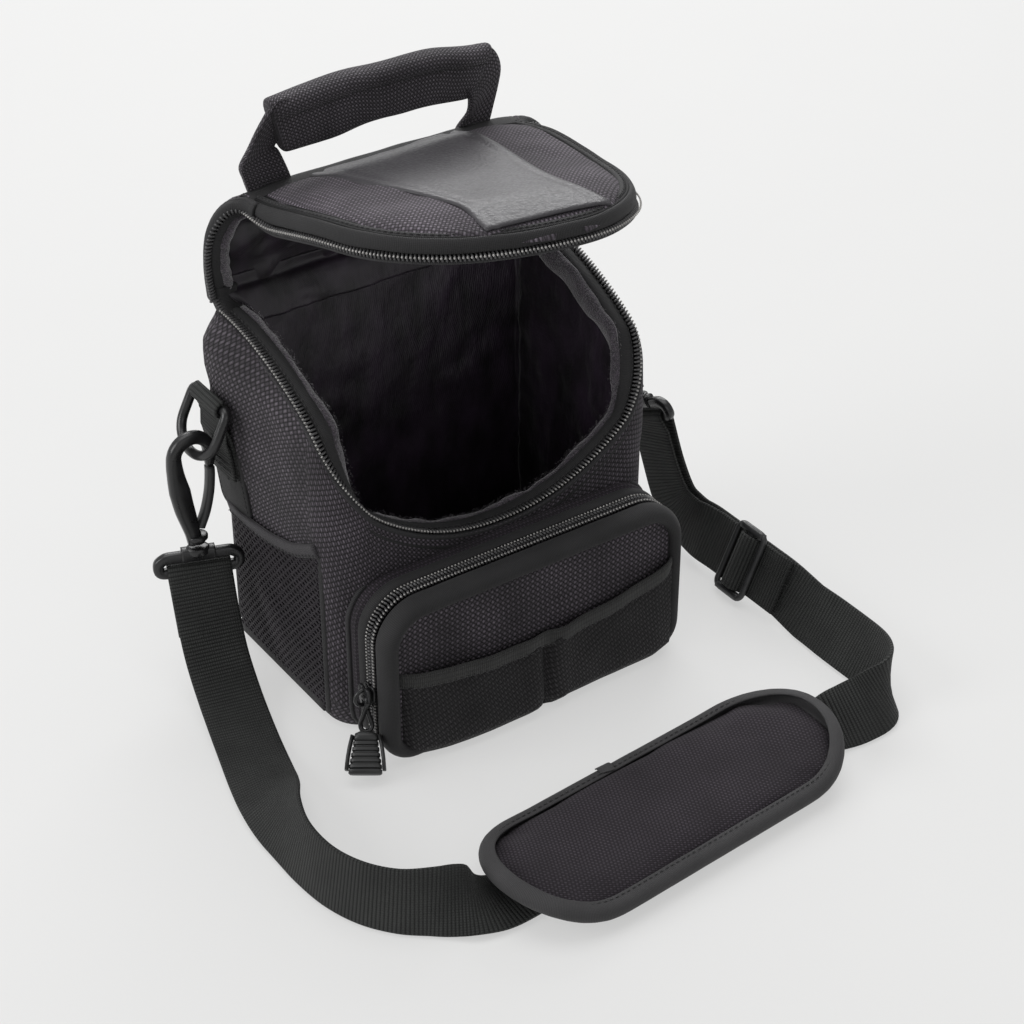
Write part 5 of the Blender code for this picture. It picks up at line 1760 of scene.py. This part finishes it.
def lid_corners():
    """The band, zip and inner trim that turn the lid's rear corners down to the hinge."""
    for side in (-1, 1):
        suffix = SUFFIX[side]
        panel, zipped = side_paths(side)
        count = 44

        def along(path, i):
            return path[min(round(i * (len(path) - 1) / count), len(path) - 1)]

        rows = []
        zip_line = [along(zipped, i) for i in range(count + 1)]
        middle = on_back(side * 30, 18, 8)
        for i in range(count + 1):
            row = []
            for j in range(9):
                point = along(panel, i).lerp(zip_line[i], j / 8)
                away = (point - middle).normalized()
                row.append(point + away * 1.2 * math.sin(math.pi * j / 8) ** 0.7)
            rows.append(row)
        cloth = skin("lid_corner_cloth_" + suffix, rows, TWILL_TAPE)
        thick(cloth, 1.3, 0)
        ridge_piece(cloth, "nylon_cloth", "lid_back_zip_" + suffix)
        line = softened(resampled(zip_line, 1.5), 3)

        def out(point):
            return Vector((point.x - middle.x, 0, point.z - middle.z))

        coil = teeth("lid_corner_coil_" + suffix, line, out, COIL, 1.5, (3.2, 1.1, 1.7), slant=0.12)
        ridge_piece(coil, "zip_coil")
        edge = pipe("lid_corner_edge_" + suffix, [p - INWARD * 0.9 for p in line], 0.85, TAPE, steps=8)
        ridge_piece(edge, "binding_tape")
        fold = softened(resampled(panel, 2), 2)
        ridge_piece(pipe("lid_corner_piping_" + suffix, fold, 1.2, TAPE), "binding_tape")
        shape = ((1.6, -0.4), (1.6, -1.2), (5.6, -1.0), (5.6, 0.0))
        rows = []
        for point in line:
            toward = (middle - point).normalized()
            rows.append([point + toward * t + INWARD * d for t, d in shape])
        strip = skin("lid_corner_tape_" + suffix, rows, TWILL_TAPE, wrap=True, caps=True)
        ridge_piece(rounded(strip), "binding_tape")
        draw = random.Random(17)
        rows = []
        for point in line[2:]:
            toward = (middle - point).normalized()
            base = point + toward * 7.4 - INWARD * 1.5
            row = []
            for u, v in round_profile(4.6, 4.0, 10):
                tuft = random_step(draw, 0.25)
                sway = toward * (ruffle(point, 6.0, 1.4, 3.0) + ruffle(point, 3.0, 0.6, 3.0))
                row.append(base + toward * u + INWARD * v + tuft + sway)
            rows.append(row)
        trim = skin("lid_corner_plush_" + suffix, rows, PLUSH, wrap=True, caps=True)
        ridge_piece(rounded(trim), "plush_trim")


def lid_ridge():
    """Cloth turning over the ridge, with a line of piping along it."""
    path = [on_back(0, PANEL_RISE - drop, depth) for drop, depth in ((5.0, -0.5), (2.8, -0.6), (1.2, -0.2))]
    path += [on_top(0, run, height) for run, height in ((0.6, 0.6), (2.4, 0.7), (5.0, 0.3), (7.0, -0.3))]

    def place(point, share):
        x = 59.6 * share
        wave = ruffle(point + ACROSS * x, 15.0, 0.4, 3.0)
        return point + Vector((x, 0, wave - 1.8 * abs(share) ** 5))

    cloth = skin("ridge_cloth", grid(curved(path, 4), ACROSS_SHARES, place), TWILL_TAPE)
    thick(cloth, 1.5, -1)
    ridge_piece(cloth, "nylon_cloth", "lid_ridge")
    line = [on_top(x, 3.0, 1.0 - 1.8 * abs(x / 60) ** 5) for x in range(-58, 59, 4)]
    cord = pipe("ridge_piping", line, 0.95, TAPE, steps=10)
    wear(cord, "lid_middle", "binding_tape")


def hinge_cloth():
    """The cloth of the back panel running on into the bag's back, inside and out."""
    path = [Vector((0, BACK + 1.6, 143)), Vector((0, BACK + 1.4, 149)), Vector((0, BACK + 0.9, 154))]
    path += [on_back(0, 1.5, -0.5), on_back(0, 5.0, -0.8), on_back(0, 9.0, -0.6)]

    def outside(point, share):
        half = blended(60.0, 70.0, eased(point.z, 144, 160))
        back = 3.0 * eased(abs(share), 0.8, 1.0) * (1 - eased(point.z, 148, 160))
        return point + Vector((half * share, -back, 0))

    def within(point, share):
        x = blended(60.0, 68.0, eased(point.z, 146, 158)) * share
        return point + Vector((x, -abs(ruffle(point + ACROSS * x, 9.0, 2.0, 8.0)), 0))

    cloth = skin("hinge_cloth", grid(curved(path, 4), ACROSS_SHARES, outside), SIDE_NYLON)
    thick(cloth, 1.0, 0)
    start, end = Vector((0, 54, 151)), Vector((0, 54, 161))
    bend(cloth, "root", "lid_back", start, end, "nylon_cloth")
    path = [Vector((0, BACK - 10.4, 143)), Vector((0, BACK - 9.4, 149)), Vector((0, BACK - 7.2, 155.0))]
    path += [on_back(0, 2.5, 4.0), on_back(0, 7.0, 3.2)]
    inside = skin("hinge_lining", grid(curved(path, 4), ACROSS_SHARES, within), LINING)
    thick(inside, 0.7, 0)
    bend(inside, "root", "lid_back", start, end, "padded_lining")
    low, high = Vector((0, 53, 150)), Vector((0, 53, 158))
    for side in (-1, 1):
        corners = ((71.6, 40.0, 148.5), (71.8, 44.0, 150.0), (71.6, 47.5, 151.5))
        corners = [Vector((side * x, y, z)) for x, y, z in corners]
        corners += [on_back(side * 71.8, 0.8, 5.0), on_back(side * 71.8, 5.0, 5.0)]
        steps = ((-7.0, 7.0, -1.5), (-1.5, 5.6, -0.8), (0, 2.4, 0), (0, -1.6, 0.6), (-2.5, -2.6, 0.4))
        steps = [Vector((side * x, y, z)) for x, y, z in steps + ((-8.5, -1.2, 0),)]
        rows = grid(curved(corners, 4), steps, lambda point, step: point + step)
        flap = skin("hinge_corner_" + SUFFIX[side], rows, TWILL_TAPE)
        thick(flap, 1.3, 0)
        bend(flap, "root", "lid_back", low, high, "nylon_cloth")
        places = [Vector((side * 71.1, 44.5, 151.4)), Vector((side * 71.4, 46.4, 152.8))]
        places = curved(places + [on_back(side * 72.0, 0.6, 7.2)], 4)
        out = Vector((side, 0, 0))
        coil = teeth("hinge_coil_" + SUFFIX[side], places, out, COIL, 1.4, (3.2, 1.1, 1.6))
        bend(coil, "root", "lid_back", low, high, "zip_coil")


lid_top_cloth()
lid_under()
lid_edges()
lid_patch()
lid_back()
lid_corners()
lid_ridge()
hinge_cloth()


# Handle


# Each leg of the handle, as (x, z) pairs of its webbing's outer and inner edge
LEFT_LEG = [((-56.6, 195.2), (-39.0, 196.0)), ((-58.2, 200.5), (-40.4, 201.0))]
LEFT_LEG += [((-60.2, 207.2), (-42.8, 208.4)), ((-56.2, 214.0), (-44.0, 210.0))]
LEFT_LEG += [((-51.5, 221.0), (-42.0, 212.0)), ((-45.0, 228.6), (-39.0, 214.0)), ((-40, 229.2), (-34, 214))]
RIGHT_LEG = [((40, 227.2), (33, 213)), ((48.8, 227.0), (37.0, 213.5)), ((53.6, 223.4), (38.6, 210.5))]
RIGHT_LEG += [((56.0, 217.0), (39.0, 206.5)), ((54.8, 209.8), (38.2, 203.0))]
RIGHT_LEG += [((50.6, 201.2), (35.6, 198.2)), ((48.4, 195.2), (33.8, 195.0))]

# Half of the grip's section: (out from its middle, up from its foot)
GRIP_HALF = [(2.4, 0.0), (3.4, 1.4), (3.9, 5.0), (4.1, 9.0), (4.0, 13.0), (3.6, 15.8), (3.5, 16.6)]
GRIP_HALF += [(4.6, 17.6), (5.3, 19.4), (5.2, 21.4), (4.2, 23.2), (2.4, 24.3)]
GRIP_TALL = 24.6


def handle():
    """Webbing carried up from the ridge and folded at its corners, round a padded roll with a flap."""
    y = RIDGE.y
    for name, pairs, slant in (("left", LEFT_LEG, 1), ("right", RIGHT_LEG, -1)):
        rows = []
        edges = [curved([Vector((pair[k][0], y, pair[k][1])) for pair in pairs], 4) for k in (0, 1)]
        for a, b in zip(*edges):
            front = []
            back = []
            for j in range(9):
                point = a.lerp(b, j / 8)
                twist = slant * 5.0 * (j / 8 - 0.5) * eased(a.z, 198, 212)
                bow = Vector((0, twist + 0.9 * math.sin(math.pi * j / 8), 0))
                front.append(point + bow - Vector((0, 1.3, 0)))
                back.append(point + bow + Vector((0, 1.3, 0)))
            rows.append(front + back[::-1])
        leg = skin("handle_strap_" + name, rows, GRIP_CLOTH, wrap=True, caps=True)
        wear(leg, "handle", "webbing", *(("handle_webbing",) if name == "left" else ()))
    profile = GRIP_HALF + [(0.0, GRIP_TALL)] + [(-u, v) for u, v in reversed(GRIP_HALF)] + [(0.0, -0.4)]

    def place(share, u, v):
        """A point of the grip: share runs from -1 at its left end to 1 at its right."""
        up = v / GRIP_TALL
        reach = blended(-41.0, -46.5, up) if share < 0 else blended(39.5, 49.5, up)
        pinch = 1 - 0.3 * abs(share) ** 8
        low = blended(207.6, 210.6, eased(share, -1, 0.1)) - 1.6 * eased(share, 0.4, 1.0)
        high = 232.0 - 2.0 * eased(-share, 0.4, 1.0) - 4.0 * eased(share, 0.3, 1.0)
        point = Vector((abs(share) * reach, y + u * pinch, blended(low, high, up)))
        soft = ruffle(point, 14.0, 0.5, 6.0)
        out = math.copysign(soft, u) if abs(u) > 1 else 0
        return point + Vector((0, out, ruffle(point, 16.0, 0.6, 8.0)))

    shares = [i / 18 - 1 for i in range(37)]
    rows = grid(shares, profile, lambda share, spot: place(share, *spot))
    ends = []
    for row, way in ((rows[0], -1), (rows[-1], 1)):
        centre = sum(row, Vector()) / len(row)
        shrink = ((0.93, 0.9), (0.75, 1.5), (0.4, 1.7))
        ends.append([[centre + (p - centre) * s + Vector((way * d, 0, 0)) for p in row] for s, d in shrink])
    rows = ends[0][::-1] + rows + ends[1]
    grip = skin("handle_grip_cloth", rows, GRIP_CLOTH, wrap=True, caps=True)
    wear(rounded(grip), "handle", "nylon_cloth", "handle_grip")
    for face in (-1, 1):
        seam = [place(share, face * 3.7, 16.2) for share in shares]
        name = "handle_stitches_" + ("front" if face < 0 else "back")
        wear(stitches(name, seam, Vector((0, face, 0)), 2.3, 1.7, 0.5), "handle", "nylon_cloth")
    for side, near, far in ((-1, 41.0, 55.0), (1, 36.0, 46.5)):
        for number, height in enumerate((197.8, 200.0)):
            path = [Vector((side * x, y - 1.6, height)) for x in (near, (near + far) / 2, far)]
            name = f"handle_tack_{SUFFIX[side]}_{number}"
            wear(stitches(name, path, Vector((0, -1, 0)), 1.5, 1.4, 0.42), "handle", "webbing")


handle()


# Front pocket


def pocket_line(inset):
    """Points (x, z) round the front pocket."""
    half = POCKET_HALF - inset
    low = POCKET_LOW + inset
    high = POCKET_HIGH - inset
    upper = max(18.0 - inset, 2)
    lower = max(12.0 - inset, 1.5)
    right = arc((half - lower, low + lower), lower, 270, 360, 5)
    right += [(half, blended(low + lower, high - upper, i / 10)) for i in range(1, 10)]
    right += arc((half - upper, high - upper), upper, 0, 90, 12)
    right += [(blended(half - upper, 0, i / 12), high) for i in range(1, 12)]
    foot = [(blended(0, half - lower, i / 12), low) for i in range(12)]
    right = foot + right
    left = [(-x, z) for x, z in reversed(right[1:])]
    return right + [(0, high)] + left


def round_pocket(inset, y):
    """The pocket's outline at a depth y."""
    return [Vector((x, y, z)) for x, z in pocket_line(inset)]


def pocket_ring(name, profile, material, wave=0.0):
    """A ring round the pocket, from the (inset, y) points of its section."""
    rows = turned([round_pocket(inset, y) for inset, y in profile])
    for row in rows if wave else ():
        for p in row:
            p += Vector((0, ruffle(p, 12.0, wave, 2.0), ruffle(p, 12.0, wave * 0.5, 3.0)))
    return skin(name, rows, material, wrap=True, loop=True)


def gusset():
    """The pocket's wall on the body, its zip tape and the two rows of its zip."""
    shape = [(0.4, -33.4), (-0.2, -35.4), (-0.6, -37.5), (-0.3, -39.4), (0.8, -39.8), (1.4, -37.5)]
    shape += [(1.6, -33.4)]
    wall = pocket_ring("pocket_gusset_cloth", shape, RIBBED_NYLON, 0.25)
    for vertex in wall.data.vertices:
        x, y = vertex.co.xy / MM
        if y > -34.5:
            vertex.co.y += 7.0 * eased(abs(x), 57, 68) * MM
    wear(wall, "root", "nylon_cloth", "pocket_gusset")
    shape = [(0.9, -39.0), (-0.2, -39.6), (-0.9, -41.2), (-0.8, -43.2), (-0.1, -44.6), (0.8, -45.0)]
    shape += [(1.6, -44.0), (1.5, -40.4)]
    tape = pocket_ring("pocket_zip_tape", shape, TWILL_TAPE)
    wear(rounded(tape), "root", "binding_tape")
    # The groove cord is near-black: painted shade along the zip tape's edge.
    for name, y, inset, material in (("seam_cord", -33.6, -0.5, TAPE), ("groove_shade", -45.0, 0.9, GROOVE_SHADE)):
        cord = pipe("pocket_" + name, round_pocket(inset, y), 1.0, material, True, 8)
        wear(cord, "root", "binding_tape")

    def coil(name, y, body, node, lean, edge):
        middle = Vector((0, y, 30))

        def out(point):
            return REARWARD + (point - middle).normalized() * 0.1

        row = teeth(name, round_pocket(0.4, y), out, COIL, 1.5, (2.6, 1.05, 1.7), True, lean)
        wear(row, body, "zip_coil", node)
        ring = round_pocket(-0.25, edge)
        dots = teeth(name + "_stitches", ring, out, BRIGHT_THREAD_AND_GLINT, 1.5, (0.85, 0.7, 0.7), True)
        wear(dots, body, "zip_coil")

    coil("pocket_coil_fixed", -46.9, "root", "pocket_zip_fixed", 0.2, -45.9)
    coil("pocket_coil_cover", -49.5, "pocket_cover", "pocket_zip_cover", -0.2, -50.3)


def cover_edge():
    """Front panel of the pocket: fat bound edge, sunk cloth, slip pocket with a pleat, elastic top."""
    shape = [(1.6, -51.0), (0.5, -51.4), (-0.5, -52.6), (-0.9, -54.8), (-0.6, -57.4), (0.5, -59.6)]
    shape += [(2.4, -60.9), (4.4, -60.7), (5.7, -59.2), (6.0, -57.2), (4.6, -55.8), (2.6, -55.4), (1.8, -53.4)]
    edge = pocket_ring("cover_edge_binding", shape, TWILL_TAPE, 0.18)
    wear(rounded(edge), "pocket_cover", "binding_tape", "cover_binding")

    def swell(x, z):
        across = min(abs(x) / (POCKET_HALF - 5), 1)
        up = min(max((z - POCKET_LOW) / (POCKET_HIGH - POCKET_LOW), 0), 1)
        return (1 - across**3) * math.sin(math.pi * min(max(up, 0.02), 0.98)) ** 0.6

    def place(x, z):
        free = swell(x, z)
        here = Vector((x, 0, z))
        slant = Vector((x * 0.4 + z * 0.5, 0, z))
        lines = ruffle(slant, 9.0, 1.6, 3.0) * eased(z, 34, 46) * eased(x, -70, 20)
        fold = ruffle(here, 20.0, 1.3, 11.0) * free + ruffle(here, 7.0, 0.25, 3.0) + lines * free
        return Vector((x, -57.0 - 2.0 * free - fold, z))

    shares = (1.0, 0.96, 0.9, 0.82, 0.72, 0.6, 0.48, 0.36, 0.24, 0.12, 0.02)
    flat = grid(shares, pocket_line(4.6), lambda share, p: (p[0] * share, 35 + (p[1] - 35) * share))
    rows = [[place(x, z) for x, z in ring] for ring in flat]
    panel = skin("cover_panel", rows, NYLON, wrap=True, uv=lambda i, j: flat[i][j])
    wear(thick(panel, 1.6, 0), "pocket_cover", "nylon_cloth", "pocket_cover")

    def top_at(x):
        """Height of the slip pocket's elastic edge: it hangs lowest in the middle."""
        return 33.6 + (5.4 if x < 0 else 9.5) * (x / 68) ** 2

    def front_at(x, z):
        """How far the stuffed slip pocket stands forward."""
        up = min(max(z / top_at(x), 0.0), 1.0)
        across = eased(x + 64, 0, 22) * eased(69.5 - x, 0, 16)
        belly = (3.6 + 2.2 * math.exp(-(((x + 18) / 26) ** 2))) * (1 - 0.45 * up**2) * across
        near = eased(1 - abs(x - 1) / 4.5, 0, 1)
        rise = eased(1 - abs(x - 7.5) / 7.0, 0, 1) + 0.7 * eased(1 - abs(x + 5.5) / 7.0, 0, 1)
        pleat = (1.2 * rise - 3.0 * near) * eased(z, -1, 4)
        under = 3.4 * (1 - eased(z, 0.4, 6.0))
        wrinkle = ruffle(Vector((x, 0, z)), 13.0, 1.0, 4.0) * (0.3 + up)
        return 59.6 + belly + (pleat + wrinkle) * across - under

    def turn_at(x, left, right):
        """How far the slip pocket's ends turn back."""
        return 7.0 * eased(x, 63.0, right) + 3.0 * (1 - eased(x, left, -59.0))

    def spot(up, x):
        low = 0.9 + 8.5 * (max(abs(x - 1.0) - 55, 0) / 13) ** 2.2
        return x, blended(low, top_at(x), up)

    left, right = -63.0, 68.6
    flat = grid(spaced(0, 1, 22), spaced(left, right, 70), spot)
    rows = [[Vector((x, turn_at(x, left, right) - front_at(x, z), z)) for x, z in row] for row in flat]
    slip = skin("slip_pocket_cloth", rows, TWILL, uv=lambda i, j: flat[i][j])
    wear(thick(slip, 1.0, 0), "pocket_cover", "nylon_cloth", "slip_pocket")
    left, right = -63.4, 69.4
    path = []
    for x in spaced(left, right, 48):
        y = turn_at(x, left, right) - front_at(x, top_at(x)) - 0.6
        path.append(Vector((x, y, top_at(x) + 0.6)))
    path = softened(path, 2)
    shape = ((0.9, -3.5), (-0.5, -3.6), (-0.9, -1.8), (-0.9, 1.8), (-0.5, 3.6), (0.9, 3.5))
    rows = grid(path, shape, lambda point, step: point + Vector((0, *step)))
    elastic = skin("slip_pocket_elastic", rows, FRONT_ELASTIC, wrap=True, caps=True)
    wear(rounded(elastic), "pocket_cover", "binding_tape", "slip_pocket_band")
    for number, drop in enumerate((-2.8, 2.8)):
        seam = [p + Vector((0, -1.0, drop)) for p in path]
        sewn = stitches(f"elastic_stitches_{number}", seam, Vector((0, -1, 0)), 2.6, 1.7, 0.36)
        wear(sewn, "pocket_cover", "binding_tape")


gusset()
cover_edge()


# Zip sliders and pullers


def frame_of(along, out):
    """Matrix whose axes are along, across and out."""
    across = out.cross(along)
    return Matrix((along, across, out)).transposed()


def plate(name, at, turn, outline, low, high, material):
    """A moulded plate: an outline in its first two axes, pushed along the third, with soft edges."""
    rows = [[at + turn @ Vector((u, v, w)) for u, v in outline] for w in (low, high)]
    piece = skin(name, rows, material, wrap=True, caps=True)
    modifier = piece.modifiers.new("edges", "BEVEL")
    modifier.width = 0.4 * MM
    modifier.segments = 3
    return piece


def zip_slider(name, at, out, along, pin, reach, hang, broad):
    """Slider with its bridge, a wire link that hangs `reach` below the pin, and a ribbed rubber grip.

    `out` and `along` set the slider on its zip; `hang` and `broad` are the grip's length and width.
    """
    turn = frame_of(along, out)
    shield = [(-4.5, -2.4), (-2.0, -3.5), (2.6, -3.9), (4.5, -3.0), (4.5, -0.9), (3.4, 0), (4.5, 0.9)]
    shield += [(4.5, 3.0), (2.6, 3.9), (-2.0, 3.5), (-4.5, 2.4)]
    top = plate(name + "_slider_top", at, turn, shield, 1.4, 2.8, PLASTIC)
    wear(top, name + "_slider", "black_plastic", name + "_slider")
    low = plate(name + "_slider_under", at, turn, [(u, v * 0.95) for u, v in shield], -0.9, 0.3, PLASTIC)
    wear(low, name + "_slider", "black_plastic")
    bridge = ((-3.6, 2.6), (-2.9, 4.6), (-1.2, 6.0), (1.2, 6.0), (2.9, 4.6), (3.6, 2.6))
    bridge = curved([at + turn @ Vector((u, 0, w)) for u, w in bridge], 4)
    wear(pipe(name + "_slider_bridge", bridge, 0.85, PLASTIC), name + "_slider", "black_plastic")
    hang = hang.normalized()
    broad = square_to(broad, hang)
    foot = pin + Vector((0, 0, -reach))
    half = broad * 2.4
    loop = [pin - REARWARD * 2.2, pin + REARWARD * 2.2, foot + half, foot + half * 0.6 + hang * 2.5]
    loop += [foot - half * 0.6 + hang * 2.5, foot - half]
    line = softened(resampled(loop, 0.9, True), 3, True)
    link = pipe(name + "_pull_link", line, 0.95, PLASTIC, True, 12)
    wear(link, name + "_puller", "black_plastic", name + "_pull_cord")
    facing = hang.cross(broad)
    centre = foot + hang * 2.6
    sections = [(0.0, 5.2, 3.2), (0.8, 8.4, 4.2), (2.8, 9.4, 4.6)]
    for i in range(5):
        begin = 3.6 + i * 2.2
        wide = 8.6 + 0.7 * i
        sections += [(begin, wide, 3.4), (begin + 0.35, wide + 0.9, 4.6)]
        sections += [(begin + 1.45, wide + 1.1, 4.6), (begin + 1.8, wide + 0.3, 3.4)]
    sections += [(14.6, 12.6, 4.6), (15.8, 12.8, 4.5), (16.3, 11.8, 3.4)]
    rows = []
    for run, wide, deep in sections:
        ring = round_profile(wide, deep, 20, 0.5)
        rows.append([centre + hang * run + broad * u + facing * v for u, v in ring])
    grip = skin(name + "_grip", rows, RUBBER, wrap=True, caps=True)
    grip.data.set_sharp_from_angle(angle=math.radians(50))
    wear(grip, name + "_puller", "pull_rubber", name + "_pull_grip")
    wings = ((1.5, 10.2), (6, 12.2), (10, 13.4), (14.5, 14.2))
    for side in (-1, 1):
        wing = [centre + hang * run + broad * side * wide / 2 for run, wide in wings]
        profile = round_profile(1.5, 4.9, 12, 0.7)
        bar = sweep(f"{name}_grip_edge_{SUFFIX[side]}", wing, profile, RUBBER, broad)
        wear(bar, name + "_puller", "pull_rubber")


zip_slider(
    "pocket",
    at=Vector((-70.2, -48.4, 30.0)),
    out=-ACROSS,
    along=UP,
    pin=Vector((-72.8, -49.4, 30)),
    reach=13.0,
    hang=Vector((-0.45, -0.65, -0.61)),
    broad=Vector((0.82, -0.57, 0)),
)
zip_slider(
    "main",
    at=Vector((72.8, 44.0, 152.8)),
    out=ACROSS,
    along=REARWARD,
    pin=Vector((77.8, 44, 152.8)),
    reach=9.0,
    hang=-UP,
    broad=REARWARD,
)


# The strap is one free length of webbing between the two hooks

ON_STRAP = ["strap_second_layer", "strap_frayed_end", "slider_rim", "slider_bar"]
ON_STRAP += ["slider_end_left", "slider_end_right", "pad_cushion_cloth", "pad_edge_binding"]
ON_STRAP += ["pad_stitches", "pad_binding_join", "pad_loop_left", "pad_loop_right"]
tuple(BELT_PATH[1])
round(length_of(BELT_PATH), 3)
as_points(BELT_PATH)
